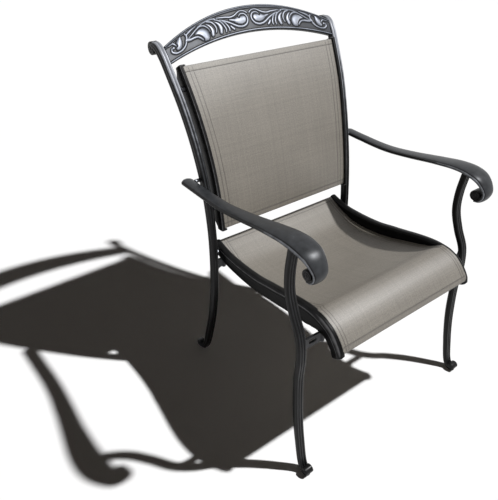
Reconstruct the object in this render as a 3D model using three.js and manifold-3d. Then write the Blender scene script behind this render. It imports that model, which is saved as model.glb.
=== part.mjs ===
// Sling dining chair for a patio, at its real size in millimetres, +Z up, facing -Y.
// A cast and extruded aluminium frame carries two woven slings, held by cords in slotted rails.
// Every member is drawn once for the side at +X and mirrored for the other side.
import * as THREE from 'three';
import Module from 'manifold-3d';

const wasm = await Module();
wasm.setup();

// Sizes that several members share
const clearance = 0.3;
const overrun = 2;
const skinFit = 0.01;
const halfSpread = 246.5;
const seatBackY = 179;
const seatHeight = 443;
const seatLength = 490;
const seatRearOver = 24;
const seatFrontY = seatBackY + seatRearOver - seatLength;
const armHeight = 640;

// Back posts, which run on down as the rear legs
const postWidth = 19;
const postDepth = 23;
const postTipDepth = 14;
const postHeight = 941;
const postReach = 133;
const postSplay = 25;
const postSteps = 22;
const postScrollRadius = 15.5;
const postScrollWidth = 20;
// Side view from the rear foot to the top scroll: reach behind the seat back, then height
const postShares = [
  [0.977, 0.012], [0.895, 0.012], [0.812, 0.017], [0.737, 0.03], [0.643, 0.053], [0.492, 0.106],
  [0.228, 0.213], [0.068, 0.319], [0.005, 0.425], [0.003, 0.531], [0.064, 0.638], [0.198, 0.744],
  [0.411, 0.85], [0.737, 0.956], [0.842, 0.984], [0.94, 1.001], [1.045, 1.008], [1.143, 1.006],
];
const postEyeShare = [1.143, 1];
// Right half of the section from the front middle: two reeds, a side groove, a flat back
const postSectionShares = [
  [0, 0.86], [0.2, 0.94], [0.5, 1], [0.8, 0.93], [1, 0.72], [1, 0.22], [0.92, 0.12],
  [0.92, -0.12], [1, -0.22], [1, -0.72], [0.68, -1], [0, -1],
];
// Depth along the post, from its tips' to the full depth
const postDepthShares = [[0, 0], [0.1, 1], [0.965, 1], [1, 0]];
// How far the post leans out sideways along its height
const postSplayShares = [
  [0, 0.332], [0.106, 0.344], [0.213, 0.32], [0.319, 0.228], [0.425, 0.096], [0.478, 0.036],
  [0.531, 0], [0.638, 0.012], [0.744, 0.168], [0.85, 0.456], [0.956, 0.812], [1.01, 1],
];

// Scrolls under all four legs, and the glides in them
const footRadius = 11;
const footHeight = 15.5;
const footWidthMore = 1;
const scrollSides = 16;
const glideRadius = 7;
const glideHeight = 5;
const glideSides = 12;

// Front legs
const legWidth = 22;
const legDepth = 17;
const legFootDepth = 12.5;
const legInset = 97;
const legY = -seatFrontY - legInset;
const legBow = 40;
const legOut = 39.9;
const legLean = 5.85;
const legSteps = 23;
// Side view up the leg: bow ahead of its rearmost line, then height up to the armrest
const legShares = [
  [1.875, 0.016], [1.675, 0.017], [1.475, 0.027], [1.337, 0.05], [1.225, 0.086], [1.1, 0.141],
  [0.998, 0.188], [0.865, 0.281], [0.823, 0.375], [0.855, 0.469], [1.008, 0.562], [0.898, 0.656],
  [0.373, 0.734], [0.01, 0.812], [0.013, 0.891], [0.273, 0.984], [0.45, 1.039],
];
const legEyeShare = 1.875;
// Depth along the leg, from the foot's to the full depth
const legDepthShares = [[0, 0], [0.1, 0.4], [0.32, 1], [0.6, 0.35], [0.8, 0.6], [1, 0.85]];
// Right half of the section from the front middle: three reeds and a flat back
const legSectionShares = [
  [0, 1], [0.2, 0.95], [0.32, 0.8], [0.44, 0.93], [0.64, 1], [0.84, 0.93], [1, 0.68],
  [1, -0.68], [0.72, -1], [0, -1],
];

// Armrests, rolled down and back into an eye at the front
const armFrontInset = 11;
const armRearOver = 43;
const armFrontY = seatFrontY + armFrontInset;
const armLength = seatBackY + armRearOver - armFrontY;
const armDrop = 68;
const armUnder = 4;
const armRim = 2.8;
const armCrown = 3.2;
const armLip = 3.5;
const armGripWidth = 61;
const armEyeWidth = 26;
const armEyeRadius = 13.5;
const armFrontOut = 25.5;
const armRearOut = 39.2;
const armSteps = 30;
// Side view from the eye up, over the front bend and back to the rear end
const armShares = [
  [0.064, -0.96], [0.04, -0.93], [0.02, -0.8], [0.01, -0.574], [0.026, -0.31],
  [0.06, -0.075], [0.116, 0.07], [0.193, 0.105], [0.313, 0.025], [0.474, -0.115],
  [0.635, -0.205], [0.755, -0.185], [0.876, -0.105], [0.966, -0.04], [1, -0.015],
];
const armEyeShare = [0.064, -0.765];
// Stretch of the armrest over the front leg
const overLegShares = [0.15, 0.6];
// Width along the armrest, from the eye's width to the grip's
const armWidthShares = [
  [0, 0], [0.07, 0.1], [0.13, 0.35], [0.18, 0.8], [0.22, 0.98], [0.29, 0.9], [0.447, 0.56],
  [0.713, 0.28], [0.93, 0.16], [0.97, 0.12], [0.985, -0.05], [1, -0.4],
];
// Right half of the domed top: shares of the half width, then of the crown over the rim
const armTopShares = [[0, 1], [0.35, 0.88], [0.65, 0.62], [0.88, 0.28], [0.97, 0.05]];

// Short spacers between members, and the bolts in them
const spacerRadius = 7;
const armSpacerRadius = 5;
const armSpacerBack = 20;
const armSpacerY = seatBackY + armSpacerBack;
const seatSpacerDrop = 12;
const spacerSides = 8;
const boltRadius = 3;
const boltDepth = 6;
const boltHeadRadius = 5.5;
const boltHeadHeight = 3;

// Crest rail cast between the posts, with its ornament
const crestThickness = 14;
const crestRise = 41.3;
const crestBow = 25;
const crestEndHeight = 43.5;
const crestMidHeight = 65.8;
const crestTilt = 0.47;
const crestForward = 10.5;
const crestDrop = 32.5;
const crestMoulding = 7;
const crestRecess = 2.4;
const crestCorner = 2.2;
const crestSteps = 34;
const reliefTall = 3.3;
const reliefSunk = 0.8;
// Section of a carved ridge: shares of its radius to the sides, then of its height out of the sunk field
const ridgeShares = [[-1, 0], [-0.7, 0.78], [0, 1], [0.7, 0.78], [1, 0]];
// The leaf scrolls on one half, each the stroke that a gouge would leave: shares of the half width,
// of the field's height, and of the crest's height for the radius
const leafStrokeShares = [
  // End scroll
  [
    [0.935, 0.679, 0.0144], [0.942, 0.502, 0.0185], [0.923, 0.311, 0.0205], [0.889, 0.196, 0.0226],
    [0.853, 0.177, 0.0246], [0.816, 0.233, 0.0267], [0.785, 0.352, 0.0288], [0.764, 0.546, 0.0329],
    [0.748, 0.752, 0.0288], [0.758, 0.958, 0.0185],
  ],
  // Its belly
  [[0.821, 0.947, 0.0411], [0.837, 0.747, 0.0698], [0.853, 0.578, 0.078], [0.868, 0.477, 0.0616]],
  // Its eye
  [[0.917, 0.642, 0.0329], [0.909, 0.626, 0.0288]],
  // Curl beside the post
  [[0.955, 1.0, 0.0164], [0.921, 0.962, 0.0205], [0.895, 0.817, 0.0205], [0.881, 0.635, 0.0144]],
  // Stem
  [
    [0.764, 0.562, 0.0329], [0.732, 0.498, 0.037], [0.701, 0.47, 0.037], [0.67, 0.459, 0.0329],
    [0.638, 0.419, 0.0288], [0.607, 0.292, 0.0267], [0.586, 0.142, 0.0185],
  ],
  // Rim of the large leaf
  [
    [0.743, 0.585, 0.0164], [0.701, 0.66, 0.0205], [0.659, 0.747, 0.0226], [0.617, 0.824, 0.0246],
    [0.581, 0.855, 0.0246], [0.544, 0.809, 0.0246], [0.513, 0.683, 0.0226], [0.492, 0.524, 0.0185],
    [0.486, 0.384, 0.0123],
  ],
  // Large leaf
  [
    [0.654, 0.515, 0.0452], [0.617, 0.532, 0.0821], [0.581, 0.462, 0.113], [0.554, 0.34, 0.113],
    [0.544, 0.196, 0.0821],
  ],
  // Second leaf
  [
    [0.533, 0.833, 0.0185], [0.497, 0.734, 0.0329], [0.471, 0.574, 0.0493], [0.46, 0.379, 0.0616],
    [0.465, 0.188, 0.0534],
  ],
  // Its vein
  [
    [0.492, 0.899, 0.0164], [0.45, 0.814, 0.0226], [0.424, 0.67, 0.0246], [0.41, 0.506, 0.0226],
    [0.41, 0.345, 0.0185], [0.421, 0.238, 0.0123],
  ],
  // Third leaf
  [
    [0.424, 0.805, 0.0185], [0.392, 0.688, 0.0329], [0.366, 0.524, 0.0534], [0.358, 0.338, 0.0616],
    [0.366, 0.154, 0.0493],
  ],
  // Its vein
  [
    [0.403, 0.838, 0.0164], [0.366, 0.748, 0.0226], [0.335, 0.597, 0.0267], [0.314, 0.411, 0.0267],
    [0.303, 0.229, 0.0226], [0.308, 0.1, 0.0144],
  ],
  // Fourth leaf
  [
    [0.319, 0.646, 0.0164], [0.293, 0.512, 0.0226], [0.274, 0.356, 0.0267], [0.264, 0.201, 0.0267],
    [0.267, 0.099, 0.0185],
  ],
  // Bud under it
  [[0.24, 0.302, 0.0246], [0.225, 0.199, 0.0329], [0.209, 0.123, 0.0288]],
  // Middle scroll
  [
    [0.345, 0.743, 0.0144], [0.314, 0.671, 0.0205], [0.272, 0.556, 0.0267], [0.23, 0.429, 0.0288],
    [0.188, 0.294, 0.0308], [0.146, 0.197, 0.0329], [0.104, 0.164, 0.0329], [0.063, 0.215, 0.0329],
    [0.034, 0.344, 0.0308], [0.024, 0.506, 0.0288], [0.034, 0.655, 0.0267], [0.06, 0.75, 0.0246],
    [0.089, 0.764, 0.0226], [0.112, 0.708, 0.0185], [0.123, 0.646, 0.0123],
  ],
  // Its belly
  [
    [0.235, 0.612, 0.0164], [0.193, 0.539, 0.0411], [0.151, 0.473, 0.0739], [0.11, 0.446, 0.0986],
    [0.073, 0.469, 0.0904],
  ],
  // Rim over the middle scroll
  [
    [0.376, 0.883, 0.0144], [0.324, 0.829, 0.0185], [0.272, 0.779, 0.0205], [0.22, 0.719, 0.0226],
    [0.178, 0.739, 0.0226], [0.146, 0.799, 0.0205], [0.115, 0.871, 0.0185], [0.083, 0.906, 0.0164],
    [0.047, 0.879, 0.0164], [0.015, 0.779, 0.0144],
  ],
  // Leaf over the stem
  [[0.743, 0.847, 0.0288], [0.711, 0.905, 0.0329], [0.67, 0.953, 0.0246], [0.628, 0.986, 0.0164]],
  // Band under the moulding
  [
    [0.607, 0.899, 0.0123], [0.56, 0.931, 0.0164], [0.507, 0.948, 0.0185], [0.45, 0.936, 0.0185],
    [0.397, 0.89, 0.0185],
  ],
];

// Seat rails
const seatRailWidth = 20;
const railGap = 7;
const seatFall = 75;
const seatRailDepth = 45;
const seatRailTipDepth = 20;
const seatRailCrown = 4.5;
const seatRailSteps = 24;
// Crown of the rail from its front end, over the front bend and along the seat
const seatRailShares = [
  [0, -1], [0.014, -0.773], [0.039, -0.52], [0.067, -0.32], [0.102, -0.187], [0.135, -0.093],
  [0.167, -0.033], [0.2, 0], [0.265, -0.013], [0.339, -0.067], [0.445, -0.173], [0.51, -0.227],
  [0.594, -0.307], [0.682, -0.333], [0.776, -0.32], [0.871, -0.267], [0.941, -0.16], [1, -0.027],
];
// Depth of the rail along its run, from its depth at the ends to its full depth
const seatDepthShares = [
  [0, 0], [0.08, 0.05], [0.154, 0.33], [0.218, 0.78], [0.28, 1], [0.378, 0.98], [0.43, 0.92],
  [0.5, 0.88], [0.69, 0.72], [0.875, 0.5], [0.94, 0.4], [1, 0.35],
];
// Right half of the crown from its middle, shares of the half width and of the crown's rise
const railCrownShares = [[0, 1], [0.4, 0.88], [0.75, 0.4], [0.95, -0.3]];
// Bead and foot of the rail's side: shares of the half width, then of the depth
const railSideShares = [
  [1, -0.1], [1, -0.18], [0.9, -0.21], [1, -0.26], [1, -0.94], [0.85, -1], [0, -1],
];

// Slings, and the cords that hold their edges in the rails
const slingThickness = 2;
const slingOverhang = 9.5;
const slingLength = seatLength + slingOverhang;
const slingFrontY = seatFrontY - slingOverhang;
const slingRise = 3;
const slingFallLess = 10;
const slingFall = seatFall - slingFallLess;
const slingLap = 4.5;
const slotCover = 12;
const slingSteps = 36;
const cordRadius = 2.6;
const cordSides = 6;
const slotMouth = 3.4;
const slotLip = 1.6;
// Side view of the seat sling from its front hem to its rear hem
const seatSlingShares = [
  [0, -1], [0.011, -0.877], [0.027, -0.708], [0.051, -0.462], [0.081, -0.246], [0.113, -0.108],
  [0.149, -0.015], [0.183, 0], [0.235, -0.185], [0.297, -0.338], [0.361, -0.462],
  [0.429, -0.585], [0.499, -0.708], [0.576, -0.8], [0.654, -0.846], [0.734, -0.846],
  [0.82, -0.754], [0.91, -0.462], [0.974, -0.185], [1, -0.077],
];

// How far the seat sling spreads over the rails' crowns, along its run from the front hem
const lapShares = [[0, 1], [0.09, 0.92], [0.13, 0.6], [0.16, 0.25], [0.19, 0]];

// Back rails
const backRailWidth = 18;
const backRailDepth = 24;
const backRailAhead = 14;
const backRailLip = 10;
const backRailCorner = 3;
const backRailDrop = 46;
const backRailRise = 53;
const backRailTop = postHeight - backRailDrop;
const backRailBottom = seatHeight + backRailRise;
const lowerSpacerRise = 64;
const upperSpacerDrop = 45;
const backSpacerHeights = [backRailBottom + lowerSpacerRise, backRailTop - upperSpacerDrop];
const backRailSteps = 14;
const backSlingAhead = 20;
const backSlingMargin = 1;

// Cross pieces
const barThickness = 6;
const barHeight = 26;
const barBossRadius = 7;
const frontBarInset = 62;
const frontBarY = seatFrontY + frontBarInset;
const rearBarY = seatBackY;
const barFlareUp = 10;
const barFlareDown = 14;
const barFlareRun = 8;
const rearFlareDown = 8;
const rearFlareRun = 10;
const barSlotLength = 25;
const barSlotHeight = 10;
const barSlotRise = 14;
const barSlotInset = 25;
const filletSteps = 4;
const spreaderRadius = 6;
const spreaderDrop = 16;
const frontSpreaderInset = 35;
const rearSpreaderInset = 13;
const frontSpreaderY = seatFrontY + frontSpreaderInset;
const rearSpreaderY = seatFrontY + seatLength - rearSpreaderInset;
const spreaderSides = 12;
const backSpreaderInset = 16;

// End caps
const capThickness = 2.5;
const capTaper = 1.6;

// Finishes
const finish = (color, roughness, metalness) => ({ color, roughness, metalness });
const castFinish = finish(0x35363a, 0.42, 0.7);
const railFinish = finish(0x242426, 0.45, 0.6);
const crestFinish = finish(0x8d929b, 0.38, 0.8);
const slingFinish = finish(0x989288, 0.85, 0);
const plasticFinish = finish(0x161617, 0.6, 0);
const steelFinish = finish(0x77797c, 0.35, 0.95);
const cordFinish = finish(0x2b2a29, 0.7, 0);

const chair = new THREE.Group();

// Adds one named mesh with a material of its own
function place(name, geometry, look) {
  const mesh = new THREE.Mesh(geometry, new THREE.MeshStandardMaterial({ ...look }));
  mesh.name = name;
  chair.add(mesh);
}

// Adds a piece drawn at +X, and its twin on the other side
function placePair(name, geometry, look) {
  place(`${name}_right`, geometry, look);
  place(`${name}_left`, mirrored(geometry), look);
}

const lerp = THREE.MathUtils.lerp;
const at = (x, y, z) => new THREE.Vector3(x, y, z);

// Straight-line reading of a table of [key, value] pairs
function read(table, key) {
  const after = table.findIndex(([limit]) => limit >= key);
  if (after === 0) return table[0][1];
  if (after < 0) return table[table.length - 1][1];
  const [[from, low], [to, high]] = [table[after - 1], table[after]];
  return lerp(low, high, (key - from) / (to - from));
}

// A table of [key, value] pairs made finer along a smooth curve through its points
function smooth(table) {
  const points = table.map(([key, value]) => at(0, key, value));
  const curve = new THREE.CatmullRomCurve3(points, false, 'centripetal');
  return curve.getPoints(table.length * 8).map((point) => [point.y, point.z]);
}

// Side view through a table of shares, laid out from an origin
function sideView(shares, originY, spanY, originZ, spanZ) {
  const points = shares.map(([along, up]) => at(0, originY + along * spanY, originZ + up * spanZ));
  const curve = new THREE.CatmullRomCurve3(points, false, 'centripetal');
  curve.arcLengthDivisions = 600;
  return curve;
}

// Stations spaced evenly along part of a side view; normals point forward or up
function stations(curve, count, from = 0, to = 1) {
  return Array.from({ length: count + 1 }, (_, step) => {
    const share = lerp(from, to, step / count);
    const point = curve.getPointAt(share);
    const tangent = curve.getTangentAt(share);
    return { share, point, tangent, normal: at(0, -tangent.z, tangent.y) };
  });
}

// The station where a curve first meets a value of y or z
function stationAt(curve, axis, value) {
  const fine = stations(curve, 400);
  const rising = fine[400].point[axis] > fine[0].point[axis];
  const hit = fine.find(({ point }) => (rising ? point[axis] >= value : point[axis] <= value));
  return hit ?? fine[400];
}

// A station moved along its normal
const offset = ({ point, normal }, distance) => point.clone().addScaledVector(normal, distance);

// Six times the signed volume of a closed triangle mesh
function signedVolume(positions, index) {
  const [a, b, c] = [at(0, 0, 0), at(0, 0, 0), at(0, 0, 0)];
  let sum = 0;
  for (let face = 0; face < index.length; face += 3) {
    a.fromArray(positions, index[face] * 3);
    b.fromArray(positions, index[face + 1] * 3);
    c.fromArray(positions, index[face + 2] * 3);
    sum += a.dot(b.cross(c));
  }
  return sum;
}

// Positions and triangles as a closed geometry whose faces point out
function solid(positions, index) {
  if (signedVolume(positions, index) < 0) {
    for (let face = 0; face < index.length; face += 3) {
      [index[face], index[face + 1]] = [index[face + 1], index[face]];
    }
  }
  const geometry = new THREE.BufferGeometry();
  geometry.setAttribute('position', new THREE.Float32BufferAttribute(positions, 3));
  geometry.setIndex(index);
  return geometry;
}

// Skins a row of rings, each a list of points with the same count, and closes both ends
function loft(rings) {
  const size = rings[0].length;
  const positions = rings.flat().flatMap((point) => point.toArray());
  const index = [];
  for (let ring = 0; ring + 1 < rings.length; ring += 1) {
    for (let side = 0; side < size; side += 1) {
      const here = ring * size + side;
      const beside = ring * size + (side + 1) % size;
      index.push(here, beside, here + size, beside, beside + size, here + size);
    }
  }
  index.push(...capFaces(rings[0], 0, true));
  index.push(...capFaces(rings[rings.length - 1], (rings.length - 1) * size, false));
  return solid(positions, index);
}

// Triangles that close a flat ring, wound with the ring or against it
function capFaces(ring, first, against) {
  const centre = ring.reduce((sum, point) => sum.add(point), at(0, 0, 0)).divideScalar(ring.length);
  const area = at(0, 0, 0);
  ring.forEach((point, side) => {
    const next = ring[(side + 1) % ring.length];
    area.add(point.clone().sub(centre).cross(next.clone().sub(centre)));
  });
  const across = ring[0].clone().sub(centre).normalize();
  const up = area.normalize().clone().cross(across);
  const flat = ring.map((point) => {
    const arm = point.clone().sub(centre);
    return new THREE.Vector2(arm.dot(across), arm.dot(up));
  });
  return THREE.ShapeUtils.triangulateShape(flat, []).flatMap(([a, b, c]) => {
    const ab = flat[b].clone().sub(flat[a]);
    const ac = flat[c].clone().sub(flat[a]);
    const withRing = ab.cross(ac) > 0;
    return (withRing === against ? [a, c, b] : [a, b, c]).map((corner) => first + corner);
  });
}

// Carries a section along stations: its points are [across the chair, along the normal]
function sweep(line, centreX, section) {
  return loft(line.map((station) => section(station).map(([across, out]) => (
    offset(station, out).setX(centreX(station) + across)
  ))));
}

// The same piece on the other side of the chair
function mirrored(geometry) {
  const positions = Array.from(geometry.attributes.position.array);
  for (let corner = 0; corner < positions.length; corner += 3) positions[corner] = -positions[corner];
  return solid(positions, Array.from(geometry.index.array));
}

// Joins and cuts made on closed solids
function toManifold(geometry) {
  const vertProperties = Float32Array.from(geometry.attributes.position.array);
  const triVerts = Uint32Array.from(geometry.index.array);
  const mesh = new wasm.Mesh({ numProp: 3, vertProperties, triVerts });
  mesh.merge();
  return new wasm.Manifold(mesh);
}

// The skin of a join or cut, without the corners that change it by less than its fit
function fromManifold(shape) {
  const mesh = shape.asOriginal().simplify(skinFit).getMesh();
  return solid(Array.from(mesh.vertProperties), Array.from(mesh.triVerts));
}

function join(first, ...others) {
  return fromManifold(others.reduce((sum, part) => sum.add(toManifold(part)), toManifold(first)));
}

function cut(body, ...tools) {
  return fromManifold(tools.reduce((rest, part) => rest.subtract(toManifold(part)), toManifold(body)));
}

// A round bar along one axis; its centre gives the other two places in X, Y, Z order
function rod(axis, from, to, centre, radius, sides) {
  const ring = (along) => Array.from({ length: sides }, (_, side) => {
    const angle = (side + 0.5) / sides * Math.PI * 2;
    const [p, q] = [centre[0] + radius * Math.cos(angle), centre[1] + radius * Math.sin(angle)];
    return { x: at(along, p, q), y: at(p, along, q), z: at(p, q, along) }[axis];
  });
  return loft([ring(from), ring(to)]);
}

// A flat outline in the front view, [x, z] points, given thickness along Y and any holes
function plate(outline, holes, middleY, thickness) {
  const toVector = ([x, z]) => new THREE.Vector2(x, z);
  const shape = new THREE.Shape(outline.map(toVector));
  shape.holes = holes.map((hole) => new THREE.Path(hole.map(toVector)));
  const geometry = new THREE.ExtrudeGeometry(shape, { depth: thickness, bevelEnabled: false });
  geometry.rotateX(Math.PI / 2);
  geometry.translate(0, middleY + thickness / 2, 0);
  return weld(geometry);
}

// Merges equal corners, so that a geometry is one closed skin
function weld(geometry) {
  const source = geometry.index ? geometry.toNonIndexed() : geometry;
  const { array } = source.attributes.position;
  const seen = new Map();
  const positions = [];
  const index = [];
  for (let corner = 0; corner < array.length; corner += 3) {
    const place3 = Array.from(array.slice(corner, corner + 3));
    const key = place3.map((value) => value.toFixed(4)).join();
    if (!seen.has(key)) {
      seen.set(key, positions.length / 3);
      positions.push(...place3);
    }
    index.push(seen.get(key));
  }
  return solid(positions, index);
}

// Mirrors the right half of a section, listed from the front middle to the back middle
const bothSides = (half) => [...half, ...half.slice(1, -1).reverse().map(([a, b]) => [-a, b])];

// Side views of the main members
const postLine = sideView(postShares, seatBackY, postReach, 0, postHeight);
const postLeanTable = smooth(postSplayShares);
const postX = (height) => halfSpread + read(postLeanTable, height / postHeight) * postSplay;
const legLine = sideView(legShares, -legY, -legBow, 0, armHeight);
const legX = (height) => halfSpread + legOut - legLean * (height / armHeight - 0.5) * 2;
const armLine = sideView(armShares, armFrontY, armLength, armHeight, armDrop);
const armX = (share) => halfSpread + lerp(armFrontOut, armRearOut, share);
const railLine = sideView(seatRailShares, seatFrontY, seatLength, seatHeight, seatFall);
const railX = halfSpread - postWidth / 2 - railGap - seatRailWidth / 2;
const railInner = railX - seatRailWidth / 2;
const slingLine = sideView(seatSlingShares, slingFrontY, slingLength, seatHeight + slingRise, slingFall);
const boreHalf = cordRadius + clearance;

// Sections of the main members, grown all round where they cut a neighbour
const scaled = (shares, halfWidth, halfDepth) => shares.map(([a, b]) => [a * halfWidth, b * halfDepth]);
const block = (halfWidth, low, high) => bothSides([[0, high], [halfWidth, high], [halfWidth, low], [0, low]]);
const postSection = ({ share }) => bothSides(scaled(
  postSectionShares,
  postWidth / 2,
  lerp(postTipDepth, postDepth, read(postDepthShares, share)) / 2,
));
const legSection = ({ share }) => bothSides(scaled(
  legSectionShares,
  legWidth / 2,
  lerp(legFootDepth, legDepth, read(legDepthShares, share)) / 2,
));

// Leg scrolls roll round an eye, shown by a round bar across the chair with a raised hub
function eye(centreX, centre, radius, width) {
  const hub = radius / 2;
  const proud = radius / 10;
  return [[radius, 0], [hub, proud]].map(([size, more]) => rod(
    'x', centreX - width / 2 - more, centreX + width / 2 + more, centre, size, scrollSides,
  ));
}

// A pocket for a glide under a foot, and the glide itself
const glidePocket = (centreX, centreY) => rod(
  'z', -overrun, glideHeight + clearance, [centreX, centreY], glideRadius + footRadius, glideSides,
);
const glide = (centreX, centreY) => rod('z', 0, glideHeight, [centreX, centreY], glideRadius, glideSides);

// Back posts
const postStations = stations(postLine, postSteps);
const postCentre = ({ point }) => postX(point.z);
const postTop = [seatBackY + postEyeShare[0] * postReach, postEyeShare[1] * postHeight];
const postFootY = seatBackY + postReach;
const postBody = join(
  sweep(postStations, postCentre, postSection),
  ...eye(postX(postHeight), postTop, postScrollRadius, postScrollWidth),
  ...eye(postX(0), [postFootY, footHeight], footRadius, postWidth + footWidthMore),
);
const grownPost = sweep(postStations, postCentre, () => (
  block(postWidth / 2 + clearance, -postDepth / 2 - clearance, postDepth / 2 + clearance)
));

// Front legs
const legStations = stations(legLine, legSteps);
const legFoot = [-legY - legEyeShare * legBow, footHeight];
const legBody = join(
  sweep(legStations, ({ point }) => legX(point.z), legSection),
  ...eye(legX(0), legFoot, footRadius, legWidth + footWidthMore),
);

// Armrests: a domed strip that widens over the grip and rolls round its eye
const armStations = stations(armLine, armSteps);
const armCentre = ({ point }) => armX((point.y - armFrontY) / armLength);
const armWidth = (share) => lerp(armEyeWidth, armGripWidth, read(armWidthShares, share));
function armSection({ share }) {
  const half = armWidth(share) / 2;
  const rim = armCrown + armRim - armUnder;
  const top = armTopShares.map(([across, up]) => [across * half, rim + up * armCrown]);
  return bothSides([
    ...top, [half, rim - armRim / 3], [half, rim - armRim], [half - armLip, -armUnder], [0, -armUnder],
  ]);
}
const armEye = [armFrontY + armEyeShare[0] * armLength, armHeight + armEyeShare[1] * armDrop];
const armEyeX = armX(armEyeShare[0]);
const armBody = join(
  sweep(armStations, armCentre, armSection),
  ...eye(armEyeX, armEye, armEyeRadius, armEyeWidth),
);
const overLeg = armStations.filter(({ share }) => share > overLegShares[0] && share < overLegShares[1]);
const underArm = sweep(overLeg, armCentre, () => (
  block(armGripWidth, -armUnder - clearance, armDrop)
));

// Seat rails
const railStations = stations(railLine, seatRailSteps);
const railDepth = (share) => lerp(seatRailTipDepth, seatRailDepth, read(seatDepthShares, share));
const railSection = (grow) => ({ share }) => bothSides([
  ...scaled(railCrownShares, seatRailWidth / 2, seatRailCrown),
  ...scaled(railSideShares, seatRailWidth / 2, railDepth(share)),
].map(([across, up]) => [
  across + grow * Math.sign(across),
  up + grow * Math.sign(up),
]));
const railSweep = (grow) => sweep(railStations, () => railX, railSection(grow));

// Where the sling's edge lies in a slot, between the places where it rises to the crown
const crownOver = (y) => stationAt(railLine, 'y', y).point.z;
const slingStations = stations(slingLine, slingSteps);
const cover = slingStations.map(({ point }) => crownOver(point.y) - point.z);
const slotted = slingStations.filter((station, step) => cover[step] > slotCover);
const slotFrom = slotted[0].share;
const slotTo = slotted[slotted.length - 1].share;
const slotTool = sweep(stations(slingLine, slingSteps / 2, slotFrom, slotTo), () => railInner, () => [
  [-overrun, slotMouth / 2], [slotLip, slotMouth / 2], [slotLip, boreHalf],
  [slotLip + boreHalf * 2, boreHalf], [slotLip + boreHalf * 2, -boreHalf], [slotLip, -boreHalf],
  [slotLip, -slotMouth / 2], [-overrun, -slotMouth / 2],
]);

// A cord of round section along stations, short of both ends of its slot
const cordSection = Array.from({ length: cordSides }, (_, side) => {
  const angle = (side + 0.5) / cordSides * Math.PI * 2;
  return [cordRadius * Math.cos(angle), cordRadius * Math.sin(angle)];
});
const cordEnd = clearance / slingLine.getLength();
const seatCord = sweep(
  stations(slingLine, slingSteps / 2, slotFrom + cordEnd, slotTo - cordEnd),
  () => railInner + slotLip + boreHalf,
  () => cordSection,
);

// Half width of the seat sling: in the slots, or beside the rails and spread over their crowns
function slingHalf({ share }, step) {
  const near = cover.slice(Math.max(0, step - 1), step + 2);
  if (near.every((depth) => depth > slotCover)) return railInner + slotLip;
  return lerp(railInner - clearance, railX + slingLap, read(lapShares, share));
}
const seatSling = loft(slingStations.map((station, step) => (
  block(slingHalf(station, step), -slingThickness / 2, slingThickness / 2)
    .map(([across, up]) => offset(station, up).setX(across))
)));

// Back rails follow the posts; the sling runs in a slot behind their front lips
const railFrom = stationAt(postLine, 'z', backRailBottom).share;
const railTo = stationAt(postLine, 'z', backRailTop).share;
const backStations = stations(postLine, backRailSteps, railFrom, railTo);
const backRailX = ({ point }) => postX(point.z) - postWidth / 2 - railGap - backRailWidth / 2;
const slotOut = backSlingAhead - backRailAhead;
const lipEnd = backRailWidth / 2 - backRailLip;
const backOutline = [[1, 1], [1, -1], [-1, -1], [-1, 1]].flatMap(([across, out]) => {
  const [half, front] = [backRailWidth / 2, backRailDepth / 2];
  const ends = [[half - backRailCorner, front], [half, front - backRailCorner]];
  const corner = ends.map(([a, b]) => [a * across, b * out]);
  return across * out > 0 ? corner : corner.reverse();
});
const slotPoints = [
  [lipEnd, backRailDepth / 2], [lipEnd, slotOut + slotMouth / 2],
  [lipEnd + slotLip, slotOut + slotMouth / 2], [lipEnd + slotLip, slotOut + boreHalf],
  [lipEnd + slotLip + boreHalf * 2, slotOut + boreHalf],
  [lipEnd + slotLip + boreHalf * 2, slotOut - boreHalf],
  [lipEnd + slotLip, slotOut - boreHalf], [lipEnd + slotLip, slotOut - slotMouth / 2],
  [-backRailWidth / 2, slotOut - slotMouth / 2],
];
const shifted = (points) => points.map(([across, out]) => [across, out + backRailAhead]);
const backRail = sweep(backStations, backRailX, () => (
  shifted([...backOutline.slice(0, -2), ...slotPoints.toReversed()])
));
const backCord = sweep(backStations, backRailX, () => (
  cordSection.map(([a, b]) => [lipEnd + slotLip + boreHalf + a, backSlingAhead + b])
));
const backSlingX = (station) => backRailX(station) + lipEnd + slotLip;
const slingMargin = backSlingMargin / postLine.getLength();
const backSlingStations = stations(postLine, slingSteps / 2, railFrom + slingMargin, railTo - slingMargin);
const backSling = loft(backSlingStations.map((station) => (
  block(backSlingX(station), backSlingAhead - slingThickness / 2, backSlingAhead + slingThickness / 2)
    .map(([across, out]) => offset(station, out).setX(across))
)));

// Crest rail: a leaning plate, arched and bowed, with mouldings round a sunk field
const crestFoot = stationAt(postLine, 'z', postHeight - crestDrop);
const lean = at(0, Math.sin(crestTilt), Math.cos(crestTilt));
const back = at(0, Math.cos(crestTilt), -Math.sin(crestTilt));
const crestReach = postX(postHeight) - postWidth / 2 + overrun;
const crestArch = (x) => 1 - (x / crestReach) ** 2;
const crestHeight = (x) => lerp(crestEndHeight, crestMidHeight, crestArch(x));
function onCrest(x, up, depth) {
  const arch = crestArch(x);
  return at(x, crestFoot.point.y - crestForward + crestBow * arch, crestFoot.point.z + crestRise * arch)
    .addScaledVector(lean, up)
    .addScaledVector(back, depth);
}
function crestRing(x) {
  const top = crestHeight(x);
  const outline = [
    [crestCorner, 0], [0, crestCorner], [0, crestMoulding - crestCorner],
    [crestRecess, crestMoulding], [crestRecess, top - crestMoulding],
    [0, top - crestMoulding + crestCorner], [0, top - crestCorner], [crestCorner, top],
    [crestThickness - crestCorner, top], [crestThickness, top - crestCorner],
    [crestThickness, crestCorner], [crestThickness - crestCorner, 0],
  ];
  return outline.map(([depth, up]) => onCrest(x, up, depth));
}
const crestPlate = loft(Array.from({ length: crestSteps + 1 }, (_, step) => (
  crestRing(lerp(-crestReach, crestReach, step / crestSteps))
)));

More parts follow.
